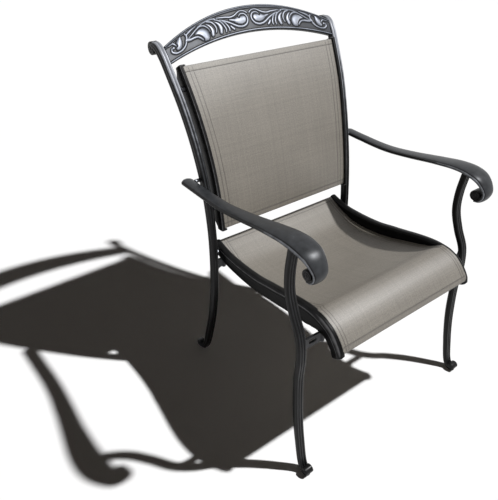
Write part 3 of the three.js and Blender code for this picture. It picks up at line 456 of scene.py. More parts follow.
# %% Draw a scroll
def scroll(middle_x, centre, radius, width, hand=1, start=math.pi / 2, hub=0.3, turns=1.3):
    """Rings about the X axis: x runs from one face to the other while the radius grows, holds
    and shrinks. The groove's depth peaks where radius = hub + angle * pitch."""
    angle = np.linspace(0, 2 * np.pi, 72, endpoint=False)
    rim = np.linspace(0, np.pi / 2, 7)
    edge = 0.16 * radius
    face = np.linspace(0.04, 1, 26) * (radius - edge)
    reach = join([face, (radius - edge) + edge * np.sin(rim[1:])])
    height = join([np.zeros(26), edge * (1 - np.cos(rim[1:]))])
    turn = (reach[:, None] / radius - hub) / (1 - hub) * turns - hand * (angle[None] - start) / (2 * np.pi)
    share = reach[:, None] / radius
    groove = np.exp(-((turn - np.round(turn)) / 0.13) ** 2) * (share > hub) * (share < 0.93)
    knob = np.clip(1 - (share / hub) ** 2, 0, 1) ** 0.5 * 0.1 * radius
    side = width / 2 - height[:, None] - groove * 0.09 * radius + knob
    x = join([-side, side[::-1]])
    r = join([reach, reach[::-1]])[:, None]
    rings = np.stack([middle_x + x, centre[0] + r * np.cos(angle), centre[1] + r * np.sin(angle)], -1)
    # The spiral groove is painted darker, as painted shade, and the hub a little lighter.
    wear_and_painted_light = 0.28 - 0.28 * groove + 0.12 * (knob > 0)
    return skin(rings, join([wear_and_painted_light, wear_and_painted_light[::-1]]))


# %% Helpers for a reeded casting
def reeds(section, deep=0.14):
    """Painted tone from a section's front, partly rubbed wear and partly painted light: 1 on the reeds, 0 in the
    grooves as painted shade, and 0.45 on sides and back.
    """
    out = section[1] / np.abs(section[1]).max()
    return np.where(out > 0.6, np.clip((out - 1 + deep) / deep, 0, 1), 0.45)


def cast_bar(path, shares, section, middle, width, depths, depth_shares):
    """Places and rings of a bar: the section's shares times half the width and half the depth,
    which runs from the first to the second of the depths by its table."""
    place, heading, normal = stations(path, shares)
    depth = (depths[0] + (depths[1] - depths[0]) * reading(depth_shares, shares, False))[:, None]
    across, out = section[0] * width / 2 + 0 * depth, section[1] * depth / 2
    return place, carry(place, normal, middle(place[:, 1]), across, out)


# %% Make the back posts
FOOT_HIGH, FOOT_RADIUS, TOP_RADIUS = 15.5, 11 * MM, 15.5 * MM
section = half_section(post_section_shares)
place, rings = cast_bar(post_path, np.linspace(0, 1, 190), section, post_middle, POST_WIDTH,
                        (POST_TIP, POST_DEPTH), post_depth_shares)
post_top = np.array([SEAT_BACK + post_shares[-1][0] * POST_REACH, POST_HEIGHT]) * MM + (SHIFT_Y, 0)
post_foot = np.array([SEAT_BACK + POST_REACH, FOOT_HIGH]) * MM + (SHIFT_Y, 0)
# The reeds are painted lighter and their grooves darker as painted shade. lit paints a sheen on the front faces that
# grows towards the top and is strongest near the crest: a painted highlight.
front_face = (section[1] > 0.55 * section[1].max()) * (1 - smooth_step(np.abs(section[0]), 0.7, 0.95))
lit = smooth_step(place[:, 1], 0.42, 0.9)[:, None] * front_face
near_crest = smooth_step(place[:, 1], 0.82, 0.92)[:, None]
pair("post_casting", [
    skin(rings, 0.15 + 0.3 * reeds(section) + (0.6 + 0.45 * near_crest) * lit),
    scroll(post_middle(POST_HEIGHT * MM), post_top, TOP_RADIUS, POST_SCROLL, -1),
    scroll(post_middle(0), post_foot, FOOT_RADIUS, POST_SCROLL, -1),
], cast_paint, ["back_post"])

# %% [markdown]
# ## Front legs
# The front legs are S-shaped castings with three reeds on the front and a flat back. They swing
# forward at the floor into a scroll, and end under the armrests. A leg could be copied from a post
# and bent, but its section has one reed more, so it gets its own tables and the posts' helper.

# %% The legs' side view
LEG_WIDTH, LEG_DEPTH, LEG_FOOT_DEPTH, LEG_BOW, ARM_HEIGHT = 22 * MM, 17 * MM, 12.5 * MM, 40, 640
LEG_OUT, LEG_LEAN, LEG_TUCK, LEG_SCROLL = 39.9 * MM, 5.85 * MM, 2, 23 * MM
leg_shares = [
    (1.875, 0.016), (1.675, 0.017), (1.475, 0.027), (1.337, 0.05), (1.225, 0.086), (1.1, 0.141),
    (0.998, 0.188), (0.865, 0.281), (0.823, 0.375), (0.855, 0.469), (1.008, 0.562), (0.898, 0.656),
    (0.373, 0.734), (0.01, 0.812), (0.013, 0.891), (0.273, 0.984), (0.45, 1.039)]
leg_depth_shares = [(0, 0), (0.1, 0.4), (0.32, 1), (0.6, 0.35), (0.8, 0.6), (1, 0.85)]
leg_section_shares = [
    (0, 1), (0.2, 0.95), (0.32, 0.78), (0.44, 0.93), (0.64, 1), (0.84, 0.93), (1, 0.68),
    (1, -0.68), (0.72, -1), (0, -1)]
LEG_Y = SEAT_FRONT + 97
leg_path = side_view(leg_shares, (LEG_Y, 0), (-LEG_BOW, ARM_HEIGHT))


def leg_middle(height):
    """A front leg's middle leans in evenly with the height, in metres."""
    return HALF_SPREAD + LEG_OUT - LEG_LEAN * (height / (ARM_HEIGHT * MM) - 0.5) * 2


# %% Make the front legs
under_arm = share_at(leg_path, 1, (ARM_HEIGHT + LEG_TUCK) * MM)
section = half_section(leg_section_shares)
place, rings = cast_bar(leg_path, np.linspace(0, under_arm, 180), section, leg_middle, LEG_WIDTH,
                        (LEG_FOOT_DEPTH, LEG_DEPTH), leg_depth_shares)
leg_foot = np.array([LEG_Y - leg_shares[0][0] * LEG_BOW, FOOT_HIGH]) * MM + (SHIFT_Y, 0)
# The reeds are painted lighter and the grooves between them darker, as painted shade; the sides and back sit between.
pair("leg_casting", [
    skin(rings, 0.1 + 0.58 * reeds(section, 0.2) ** 1.7),
    scroll(leg_middle(0), leg_foot, FOOT_RADIUS, LEG_SCROLL),
], cast_paint, ["front_leg"])

# %% [markdown]
# ## Armrests
# An armrest is a domed strip. It is narrow at the post, widens over the grip, bends down at the
# front and rolls back into a small eye. Its under side is flat, with a thin rim that stands out.
# Subdividing a bent box would round that rim away, so each ring lists its dome, rim and under side.

# %% The armrests' side view and widths
ARM_FRONT = SEAT_FRONT + 11
ARM_LENGTH, ARM_DROP, ARM_TOP, ARM_RIM = SEAT_BACK + 43 - ARM_FRONT, 68, 5.2, 1.8
ARM_OUT_FRONT, ARM_OUT_REAR, ARM_SLIM, ARM_WIDE, ARM_ROUND = 25.5, 39.2, 26, 61, 11 * MM
EYE_DROP, EYE_RADIUS, EYE_WIDTH = 0.765, 13.5 * MM, 26 * MM
arm_shares = [
    (0.064, -0.96), (0.04, -0.93), (0.02, -0.8), (0.01, -0.574), (0.026, -0.31),
    (0.06, -0.075), (0.116, 0.07), (0.193, 0.105), (0.313, 0.025), (0.474, -0.115),
    (0.635, -0.205), (0.755, -0.185), (0.876, -0.105), (0.966, -0.04), (1, -0.015)]
arm_width_shares = [
    (0, 0.05), (0.05, 0.22), (0.09, 0.45), (0.13, 0.72), (0.175, 0.95), (0.215, 1.0), (0.29, 0.9),
    (0.447, 0.56), (0.713, 0.28), (0.9, 0.22), (1, 0.22)]
arm_crown_shares = [(0, 4), (0.1, 7), (0.2, 8), (0.32, 7), (0.5, 5.2), (0.75, 5), (0.9, 7), (1, 8)]
arm_path = side_view(arm_shares, (ARM_FRONT, ARM_HEIGHT), (ARM_LENGTH, ARM_DROP))


def arm_middle(y):
    """An armrest's middle runs straight from its front to its rear, in metres."""
    share = (y - SHIFT_Y - ARM_FRONT * MM) / (ARM_LENGTH * MM)
    return HALF_SPREAD + (ARM_OUT_FRONT + (ARM_OUT_REAR - ARM_OUT_FRONT) * share) * MM


def arm_width(share):
    """An armrest's whole width at a share of its length, in metres."""
    return (ARM_SLIM + (ARM_WIDE - ARM_SLIM) * reading(arm_width_shares, share)) * MM


# %% Their rings, in millimetres over the side view
shares = join([np.linspace(0, 0.965, 190), 1 - 0.035 * np.linspace(1, 0, 24)[1:] ** 2])
place, heading, normal = stations(arm_path, shares)
rear = np.clip((1 - shares) * arm_path["run"][-1] / ARM_ROUND, 0, 1)
rounded = np.sqrt(1 - (1 - rear) ** 2).clip(0.05)[:, None]
half = arm_width(shares)[:, None] / 2 * rounded
dome = reading(arm_crown_shares, shares)[:, None]
across = np.array([0, 0.1, 0.2, 0.3, 0.4, 0.5, 0.59, 0.67, 0.74, 0.8, 0.84, 0.87, 0.9, 0.93, 0.96, 0.985])
rim_groove = np.exp(-((across - 0.87) / 0.03) ** 2)
front = 1 - 0.75 * smooth_step(shares, 0.3, 0.55)[:, None]
crown = ARM_TOP - dome * (1 - np.sqrt(1 - across ** 2.3)) - 0.8 * rim_groove * front
low = ARM_TOP - dome
side = np.array([(1, -0.4), (1, -1.2), (0.985, -ARM_RIM)])
under = np.array([(0.95, 0.35), (0.88, 0.75), (0.78, 0.95), (0.4, 1), (0, 1)])
half_across = join([across, side[:, 0], under[:, 0]]) * half
below = low - ARM_RIM + (-ARM_TOP - 0.25 * dome - low + ARM_RIM) * under[:, 1]
half_out = join([crown, low + side[:, 1], below], 1) * (0.2 + 0.8 * rounded) * MM
ring_across = join([half_across, -half_across[:, -2:0:-1]], 1)
ring_out = join([half_out, half_out[:, -2:0:-1]], 1)

# %% Make the armrests: the dome lighter than the under side, which gets painted shade; towards the front a painted highlight on the rim, painted shade in its groove and on the sides; towards the rear the edges painted darker
painted_rim_light_and_shade = join([-0.4 * rim_groove + 0.2 * (across > 0.92), [0.1, -0.1, -0.3]])
painted_rear_edge_shade = join([0.5 * smooth_step(across, 0.7, 0.95), [0.5, 0.5, 0.4]])
armrest_tone = 0.66 + painted_rim_light_and_shade * front - painted_rear_edge_shade * (1 - front) / 0.75
wear_and_painted_light = join([armrest_tone, np.full((len(shares), 5), 0.1)], 1)
eye_y, eye_z = ARM_FRONT + arm_shares[0][0] * ARM_LENGTH, ARM_HEIGHT - EYE_DROP * ARM_DROP
arm_eye = np.array([eye_y, eye_z]) * MM + (SHIFT_Y, 0)
pair("armrest_casting", [
    skin(carry(place, normal, arm_middle(place[:, 0]), ring_across, ring_out),
         join([wear_and_painted_light, wear_and_painted_light[:, -2:0:-1]], 1)),
    scroll(arm_middle(arm_eye[0]), arm_eye, EYE_RADIUS, EYE_WIDTH, start=-math.pi / 2),
], cast_paint, ["armrest"])

# %% [markdown]
# ## Crest rail
# The crest is the showpiece: a casting between the posts that arches up, bows back and leans with
# them. Mouldings frame a sunk field of leaf scrolls, the same on both sides. It could be sculpted by
# hand, but a height field, how far each point of the front stands out, keeps it one clean surface
# that can be drawn again from a few numbers.

# %% The crest's own frame
CREST_THICK, CREST_CORNER, CREST_BORDER, CREST_CLEAR, TOUCH = 14 * MM, 2.2 * MM, 7 * MM, 2.4 * MM, 0.3 * MM
CREST_END, CREST_MID, CREST_RISE, CREST_BOW = 43.5 * MM, 65.8 * MM, 41.3 * MM, 25 * MM
CREST_REACH = post_middle(POST_HEIGHT * MM) - POST_WIDTH / 2 + 2 * MM
CREST_SINK, CREST_AHEAD, CREST_LEAN = 32.5, 10.5 * MM, 0.47
foot_share = share_at(post_path, 1, (POST_HEIGHT - CREST_SINK) * MM)
crest_foot = stations(post_path, [foot_share])[0][0] - (CREST_AHEAD, 0)
LEAN = np.array([math.sin(CREST_LEAN), math.cos(CREST_LEAN)])
BEHIND = np.array([math.cos(CREST_LEAN), -math.sin(CREST_LEAN)])


def crest_arch(x):
    """1 in the middle of the crest and 0 at its ends."""
    return 1 - (x / CREST_REACH) ** 2


def crest_height(x):
    """The crest's height along its lean."""
    return CREST_END + (CREST_MID - CREST_END) * crest_arch(x)


def on_crest(x, rise, depth):
    """A place on the crest: the foot line bows and arches with 1 - (x / reach) squared, and a
    point goes up along the lean by its rise and back across it by its depth."""
    arch = crest_arch(x)[..., None]
    yz = crest_foot + arch * (CREST_BOW, CREST_RISE) + rise[..., None] * LEAN + depth[..., None] * BEHIND
    return join([x[..., None], yz], -1)


print("crest reach", round(float(CREST_REACH), 4))

# %% [markdown]
# ### Leaf scrolls
# The ornament is drawn as strokes with a radius that changes on the way, as a carver would sweep
# a gouge: slim ones are the rims and veins, wide ones the bellies of the leaves. Beside a rim the
# leaves are cut back, so that it stands free. A stroke's points are three whole numbers: thousandths
# of the half width and of the field's height, and for the radius ten thousandths of the crest's height.

# %% The strokes of one half
leaf_strokes = {
    "end_scroll": [(935, 679, 144), (942, 502, 185), (923, 311, 205), (889, 196, 226), (853, 177, 246),
        (816, 233, 267), (785, 352, 288), (764, 546, 329), (748, 752, 288), (758, 958, 185)],
    "end_lobe": [(821, 947, 411), (837, 747, 698), (853, 578, 780), (868, 477, 616)],
    "end_eye": [(917, 642, 329), (913, 633, 329)],
    "end_curl": [(955, 1000, 164), (921, 962, 205), (895, 817, 205), (881, 635, 144)],
    "stem": [(764, 562, 329), (732, 498, 370), (701, 470, 370), (670, 459, 329), (638, 419, 288),
        (607, 292, 267), (586, 142, 185)],
    "leaf_rim": [(743, 585, 164), (701, 660, 205), (659, 747, 226), (617, 824, 246), (581, 855, 246),
        (544, 809, 246), (513, 683, 226), (492, 524, 185), (486, 384, 123)],
    "leaf": [(654, 515, 452), (617, 532, 821), (581, 462, 1130), (554, 340, 1130), (544, 196, 821)],
    "finger_2": [(533, 833, 185), (497, 734, 329), (471, 574, 493), (460, 379, 616), (465, 188, 534)],
    "vein_2": [(492, 899, 164), (450, 814, 226), (424, 670, 246), (410, 506, 226), (410, 345, 185),
        (421, 238, 123)],
    "finger_3": [(424, 805, 185), (392, 688, 329), (366, 524, 534), (358, 338, 616), (366, 154, 493)],
    "vein_3": [(403, 838, 164), (366, 748, 226), (335, 597, 267), (314, 411, 267), (303, 229, 226),
        (308, 100, 144)],
    "finger_4": [(319, 646, 164), (293, 512, 226), (274, 356, 267), (264, 201, 267), (267, 99, 185)],
    "fill": [(240, 302, 246), (225, 199, 329), (209, 123, 288)],
    "volute": [(345, 743, 144), (314, 671, 205), (272, 556, 267), (230, 429, 288), (188, 294, 308),
        (146, 197, 329), (104, 164, 329), (63, 215, 329), (34, 344, 308), (24, 506, 288), (34, 655, 267),
        (60, 750, 246), (89, 764, 226), (112, 708, 185), (123, 646, 123)],
    "drop": [(235, 612, 164), (193, 539, 411), (151, 473, 739), (110, 446, 986), (73, 469, 904)],
    "border": [(376, 883, 144), (324, 829, 185), (272, 779, 205), (220, 719, 226), (178, 739, 226),
        (146, 799, 205), (115, 871, 185), (83, 906, 164), (47, 879, 164), (15, 779, 144)],
    "top_leaf": [(743, 847, 288), (711, 905, 329), (670, 953, 246), (628, 986, 164)],
    "top_band": [(607, 899, 123), (560, 931, 164), (507, 948, 185), (450, 936, 185), (397, 890, 185)],
}
print(len(leaf_strokes), "strokes on each half")

# %% Helpers for the height field
TALL, SLIM, SPREAD = 3.9 * MM, 0.038, 1.6 * MM


def stroke_height(x, rise, stroke):
    """The highest of many round domes along the stroke: height times the root of 1 minus the
    squared share of the radius at which the point lies. Slim strokes are about 0.9 radii high,
    and wide ones spread further. Also gives the least share of a radius, for the cut beside it."""
    line = curve_through(stroke, 10)
    places = line[:, 0] * CREST_REACH
    rises = CREST_BORDER + line[:, 1] * (crest_height(places) - 2 * CREST_BORDER)
    radius = line[:, 2] * (1 + 0.75 * smooth_step(line[:, 2], 0.04, 0.09)) * CREST_MID + SPREAD
    tall = TALL * (1 - np.exp(-0.95 * radius / TALL))
    away = (np.abs(x)[..., None] - places) ** 2 + (rise[..., None] - rises) ** 2
    share = away / radius ** 2
    return (tall * np.sqrt(np.clip(1 - share, 0, 1))).max(-1), np.sqrt(share.min(-1))


def soften(field, cells):
    """A Gaussian blur: the field's waves are damped by exp(-2 (pi cells frequency) squared)."""
    wave = [np.fft.fftfreq(count) for count in field.shape]
    damp = np.exp(-2 * (math.pi * cells) ** 2 * (wave[0][:, None] ** 2 + wave[1][None] ** 2))
    return np.real(np.fft.ifft2(np.fft.fft2(field) * damp))


# %% Carve the strokes into the field
ACROSS, FRONT = 681, 88
span = np.linspace(-1, 1, ACROSS)[:, None]
level = np.linspace(0, 1, FRONT)[None]
grid_x = span * (CREST_REACH - CREST_CLEAR) + 0 * level
grid_top = crest_height(grid_x)
grid_rise = level * grid_top
half_way = ACROSS // 2
rims, leaves, cut = 0, 0, 0
for stroke in leaf_strokes.values():
    stroke = np.array(stroke) / (1000, 1000, 10000)
    tall, near = stroke_height(grid_x[half_way:], grid_rise[half_way:], stroke)
    if stroke[:, 2].max() < SLIM:
        rims, cut = rims + tall ** 4, np.maximum(cut, 1 - smooth_step(near, 1.15, 1.6))
    else:
        leaves = leaves + tall ** 4
half_height = (rims + leaves * (1 - cut) ** 4) ** 0.25
relief = join([half_height[:0:-1], half_height])
print("relief up to", round(float(relief.max() / MM), 2), "mm")

# %% Mouldings round the sunk field
FIELD_FOOT, FIELD_TOP, FIELD_FADE, DARK_EDGE = 5.6 * MM, 6.6 * MM, 2 * MM, (0.5 * MM, 3 * MM)
lower_edge = curve_through([(0, 2.2), (1, 0.8), (2.6, 0), (4.2, 0.5), (5.4, 1.7), (6.4, 2.4), (9, 2.4)], 8) * MM
upper_edge = curve_through([(0, 2.2), (0.8, 0.8), (2.2, 0), (3.6, 0.7), (4.7, 1.9), (5.7, 1.2),
                            (6.7, 0.9), (8, 2), (9.5, 2.4)], 8) * MM
plain = np.minimum(np.interp(grid_rise, *lower_edge.T), np.interp(grid_top - grid_rise, *upper_edge.T))
inside = smooth_step(np.minimum(grid_rise - FIELD_FOOT, grid_top - FIELD_TOP - grid_rise), 0, FIELD_FADE)
grid_depth = soften(plain - relief * inside, 1.05)
# The crest's colour paints light and shade: grooves and broad hollows are darker, partly a dark wash and partly
# painted shade; raised relief is lighter, partly rubbed pewter and partly a painted highlight; the field near the
# ornament is lighter, and a band along the top edge is darker.
groove_wash_and_shade = (grid_depth - soften(grid_depth, 3)) / MM
broad_wash_and_shade = (grid_depth - soften(grid_depth, 9)) / MM
rubbed_and_lit_relief, nearby = (soften(relief * inside, cells) / TALL for cells in (2, 9))
top_edge = 1 - smooth_step(grid_top - grid_rise, *DARK_EDGE)
crest_wear_and_painted_light = 0.3 + 0.24 * rubbed_and_lit_relief + 0.14 * nearby - 0.6 * groove_wash_and_shade - 0.16 * broad_wash_and_shade - 0.2 * top_edge

# %% Close the crest round its top, back and foot
corner = np.array([0.6, 1.3, 2.2]) / 2.2 * CREST_CORNER
inset = np.array([0, 0.2, 0.9]) * MM
middle_depth = [CREST_THICK * 0.5]
back_depth = join([middle_depth, CREST_THICK - corner[::-1], np.full(9, CREST_THICK), CREST_THICK - corner,
                   middle_depth])
back_share = join([np.ones(4), np.linspace(1, 0, 11)[1:-1], np.zeros(4)])
back_inset = join([[0], inset, np.zeros(9), -inset[::-1], [0]])
back_rise = back_share[None] * grid_top[:, :1] - back_inset[None]
ring_rise = join([grid_rise, back_rise], 1)
ring_depth = join([grid_depth, np.broadcast_to(back_depth, back_rise.shape)], 1)
end_height = crest_foot[1] + ring_rise[-1:] * LEAN[1] + ring_depth[-1:] * BEHIND[1]
ring_x = span * (post_middle(end_height) - POST_WIDTH / 2 - TOUCH)
rings = on_crest(ring_x, ring_rise, ring_depth)
# The top, back and foot take one dark value, darker than the front.
wear_and_painted_light = join([np.clip(crest_wear_and_painted_light, 0, 1), np.full(back_rise.shape, 0.12)], 1)
piece("crest_casting", [skin(rings, wear_and_painted_light)], crest_paint_lit_copy, ["crest_rail"], 60)

# %% [markdown]
# ## Seat rails
# The seat hangs between two extrusions that bend down at the front. Their top is crowned, a bead
# runs along the side below it, and a slot on the inner side holds the cord in the cloth's edge. One
# extruded profile would be simpler, but the rail grows deeper behind the bend and the slot ends
# before it, so every station has its own ring.

# %% The rails' side view, and the cloth's
RAIL_FALL, SLING_FALL, SLING_AHEAD, SLING_OVER = 75, 65, 9.5, 3
RAIL_WIDTH, RAIL_GAP, RAIL_TIP, RAIL_DEPTH, RAIL_CROWN = 20 * MM, 7 * MM, 20 * MM, 45 * MM, 4.5 * MM
rail_shares = [
    (0, -1), (0.014, -0.773), (0.039, -0.52), (0.067, -0.32), (0.102, -0.187), (0.135, -0.093),
    (0.167, -0.033), (0.2, 0), (0.265, -0.013), (0.339, -0.067), (0.445, -0.173), (0.51, -0.227),
    (0.594, -0.307), (0.682, -0.333), (0.776, -0.32), (0.871, -0.267), (0.941, -0.16), (1, -0.027)]
rail_depth_shares = [
    (0, 0), (0.08, 0.05), (0.154, 0.33), (0.218, 0.78), (0.28, 1), (0.378, 0.98), (0.43, 0.92),
    (0.5, 0.88), (0.69, 0.72), (0.875, 0.5), (0.94, 0.4), (1, 0.35)]
rail_path = side_view(rail_shares, (SEAT_FRONT, SEAT_HEIGHT), (SEAT_LENGTH, RAIL_FALL))
RAIL_X = HALF_SPREAD - POST_WIDTH / 2 - RAIL_GAP - RAIL_WIDTH / 2
SLOT_MOUTH, SLOT_LIP, BORE, SLOT_COVER = 1.7 * MM, 1.6 * MM, 2.9 * MM, 12 * MM
sling_shares = [
    (0, -1), (0.011, -0.877), (0.027, -0.708), (0.051, -0.462), (0.081, -0.246), (0.113, -0.108),
    (0.149, -0.015), (0.183, 0), (0.235, -0.185), (0.297, -0.338), (0.361, -0.462),
    (0.429, -0.585), (0.499, -0.708), (0.576, -0.8), (0.654, -0.846), (0.734, -0.846),
    (0.82, -0.754), (0.91, -0.462), (0.974, -0.185), (1, -0.077)]
sling_path = side_view(sling_shares, (SEAT_FRONT - SLING_AHEAD, SEAT_HEIGHT + SLING_OVER),
                       (SEAT_LENGTH + SLING_AHEAD, SLING_FALL))
RAIL_ROWS = np.linspace(0, 1, 170)

# %% Where the cloth passes the rails
TOO_FAR = 60 * MM


def height_off(path, other, shares):
    """How far another side view passes from a path, measured along the path's normals: the other
    line's points are read in the frame of each station, where their reach along it is zero.
    Points too far off are left out."""
    place, heading, normal = stations(path, shares)
    away = other["yz"][None] - place[:, None]
    reach = np.einsum("ijk,ik->ij", away, heading)
    out = np.einsum("ijk,ik->ij", away, normal)
    nearest = np.argmin(np.abs(reach) + 10 * (np.abs(out) > TOO_FAR), axis=1)
    return out[np.arange(len(place)), nearest]


cover = np.interp(sling_path["yz"][:, 0], *rail_path["yz"].T) - sling_path["yz"][:, 1]
slot_y = sling_path["yz"][cover > SLOT_COVER, 0][[0, -1]]
print("slot from", np.round(slot_y, 3).tolist())

# %% The rails' rings, with a higher crown over the bend
BEND_CROWN = 5.2 * MM
place, heading, normal = stations(rail_path, RAIL_ROWS)
depth = (RAIL_TIP + (RAIL_DEPTH - RAIL_TIP) * reading(rail_depth_shares, RAIL_ROWS))[:, None]
half = RAIL_WIDTH / 2
cloth_line = height_off(rail_path, sling_path, RAIL_ROWS)
sling_y = place[:, 0] + cloth_line * normal[:, 0]
is_open = ((sling_y > slot_y[0]) & (sling_y < slot_y[1]))[:, None].astype(float)
middle = np.where(is_open > 0, cloth_line[:, None], -0.5 * depth)
crown = curve_through([(0, 1), (0.45, 0.93), (0.8, 0.62), (0.98, -0.1)], 4)
at_front = (1 - smooth_step(RAIL_ROWS, 0.16, 0.25)) * smooth_step(RAIL_ROWS, -0.02, 0.03)
crown_tall = RAIL_CROWN + BEND_CROWN * at_front
tops = crown[:, 1] * crown_tall[:, None]
outer_across = join([crown[:, 0], [1, 1, 0.97, 0.92, 0.97, 1, 1, 0.95, 0.85, 0]]) * half
outer_out = join([tops, depth * [-0.1, -0.18, -0.195, -0.215, -0.235, -0.26, -0.92, -0.985, -1, -1]], 1)
bore_half = SLOT_MOUTH + (BORE - SLOT_MOUTH) * is_open
mouth = SLOT_MOUTH + 0 * depth
slot_sunk = np.array([0, SLOT_LIP, SLOT_LIP, SLOT_LIP + 2 * BORE])
slot_across = join([slot_sunk, slot_sunk[::-1]]) * is_open - half
slot_out = middle - join([mouth, mouth, bore_half, bore_half, -bore_half, -bore_half, -mouth, -mouth], 1)
flat = 0 * depth - half
inner_across = join([0 * depth - 0.85 * half, flat, slot_across, flat, -crown[:0:-1, 0] * half + 0 * depth], 1)
inner_out = join([-depth, -0.94 * depth, slot_out, -0.12 * depth, tops[:, :0:-1]], 1)
across = join([np.broadcast_to(outer_across, outer_out.shape), inner_across], 1)
rings = carry(place, normal, np.full(len(place), RAIL_X), across, join([outer_out, inner_out], 1))

# %% Make the seat rails: the crown painted lighter than the sides, painted highlight lines above and below the bead with painted shade in its groove, and a painted highlight line along the crown over the bend at the front
painted_side_lines, slot_tone = [0.95, 0.4, 0.1, 0, 0.15, 0.5, 0.12, 0.2, 0.1, 0.1], np.full(11, 0.1)
wear_and_painted_light = join([np.linspace(0.4, 0.6, len(crown)), painted_side_lines, slot_tone, np.linspace(0.6, 0.4, len(crown) - 1)])
painted_crown_highlight = np.exp(-((across / half - 0.72) / 0.2) ** 2) * (np.arange(across.shape[1]) < len(crown))
wear_and_painted_light = wear_and_painted_light + 0.5 * at_front[:, None] * painted_crown_highlight
pair("seat_rail_profile", [skin(rings, wear_and_painted_light)], rail_paint_shaded_copy, ["seat_rail"], 30)

# %% [markdown]
# ## Back rails
# The back rails follow the posts. Their front lip covers the edge of the cloth, which comes out
# of a slot behind it, so the section has an open mouth that faces the middle of the chair. Their
# section stays the same, but a bevelled curve couldn't lean out with the posts as this does.

# %% The back rails' section
BACK_RAIL_WIDTH, BACK_AHEAD, CLOTH_AHEAD = 18 * MM, 14 * MM, 20 * MM
BODY_DEEPER, BODY_FROM, BODY_TO = 13 * MM, 2 * MM, 22 * MM
RAIL_TOP, RAIL_FOOT = (POST_HEIGHT - 46) * MM, (SEAT_HEIGHT + 53) * MM
rail_from, rail_to = share_at(post_path, 1, RAIL_FOOT), share_at(post_path, 1, RAIL_TOP)


def back_rail_middle(height):
    """The middle of a back rail, one gap inside the post."""
    return post_middle(height) - POST_WIDTH / 2 - RAIL_GAP - BACK_RAIL_WIDTH / 2


def arc(middle, radius, start, end, count=4):
    """Points of a rounded corner, from one angle to another in degrees."""
    angle = np.radians(np.linspace(start, end, count))
    return np.stack([middle[0] + radius * np.cos(angle), middle[1] + radius * np.sin(angle)], -1)


lip = np.array([(-9, 4.3), (0.6, 4.3), (0.6, 3.1), (6.4, 3.1), (6.4, 8.9), (0.6, 8.9), (0.6, 7.7), (-0.2, 7.7)])
section = np.vstack([arc((0.6, 10.4), 1.6, 180, 90), arc((6, 9), 3, 90, 0), arc((6, -9), 3, 0, -90),
                     arc((-6, -9), 3, -90, -180), lip, arc((0, 8.5), 0.9, 240, 180, 3)[1:]]) * MM

# %% Make the back rails: their body reaches further back between the ends
shares = np.linspace(rail_from, rail_to, 90)
place, heading, normal = stations(post_path, shares)
from_end = np.minimum(shares - rail_from, rail_to - shares) * post_path["run"][-1]
behind = BODY_DEEPER * smooth_step(from_end, BODY_FROM, BODY_TO)[:, None] * (section[:, 1] < 0)
rings = carry(place, normal, back_rail_middle(place[:, 1]), np.broadcast_to(section[:, 0], behind.shape),
              section[:, 1] + BACK_AHEAD - behind)
# The front lip is painted lighter and the outer front corner carries a painted highlight line; the rest stays dark.
wear_and_painted_light = join([[0.6, 0.6, 0.55, 0.55, 0.65, 0.95, 0.5, 0.05], np.full(len(section) - 8, 0.05)])
pair("back_rail_profile", [skin(rings, wear_and_painted_light)], rail_paint_shaded_copy, ["back_rail"], 30)

# %% [markdown]
# ## Slings
# Each sling is one sheet of coated mesh, pulled tight across its rails. Its ends are folded over
# and sewn into hems, and its sides hold the cords. The cloth is drawn tensioned, as a surface with
# a slight sag between the rails, because a simulation of stretched cloth would end in the same
# place. Each sheet gets a UV map in metres, measured along the cloth.

# %% Draw a sheet of cloth
HEM_STEP, ROW_GAP = 0.5 * MM, 0.05 * MM


def cloth_sheet(shares, path, half_width, out, sag, thickness):
    """Two grids, face and back, that meet at the edges: x = u * half width, and the height over
    the path is out - sag * (1 - u squared) plus or minus half the thickness."""
    place, heading, normal = stations(path, shares)
    u = np.sin(np.linspace(-1, 1, 121) * np.pi / 2) * 0.25 + np.linspace(-1, 1, 121) * 0.75
    across = half_width(place, shares)[:, None] * u
    middle = out(shares)[:, None] - sag(place, shares)[:, None] * (1 - u ** 2)
    thick = thickness(shares)[:, None] / 2 + 0 * u
    across = join([across, across[:, ::-1]], 1)
    layers = join([middle + thick, (middle - thick)[:, ::-1]], 1)
    rings = carry(place, normal, np.zeros(len(place)), across, layers)
    run = np.broadcast_to((shares * path["run"][-1])[:, None], across.shape)
    return {**skin(rings), "uv": np.stack([across, run], -1).reshape(-1, 2),
            "from_edge": (half_width(place, shares)[:, None] - np.abs(across)).reshape(-1),
            "from_end": np.minimum(run - run.min(), run.max() - run).reshape(-1)}


def hem(shares, path, start, end, fold=HEM, single=1.1 * MM, double=1.7 * MM):
    """Thickness of a sheet: double over the folds at both ends, with rounded edges, and single
    between them."""
    run = shares * path["run"][-1]
    edge = np.minimum(run - start * path["run"][-1], end * path["run"][-1] - run)
    body = double + (single - double) * smooth_step(edge, fold - HEM_STEP, fold + HEM_STEP)
    return body * np.sqrt(np.clip(1 - (1 - np.clip(edge / (double / 2), 0, 1)) ** 2, 0.04, 1))


def hem_rows(path, start, end, count):
    """Even stations, with closer ones at the rounded edges and at the ends of the folds."""
    length = path["run"][-1]
    fold = HEM / MM + np.array([-0.8, -0.5, -0.2, 0, 0.2, 0.5, 0.8])
    fine = join([[0, 0.1, 0.3, 0.6, 1], fold]) * MM / length
    rows = np.unique(join([np.linspace(start, end, count), start + fine, end - fine]))
    return rows[join([[True], np.diff(rows) > ROW_GAP / length])]


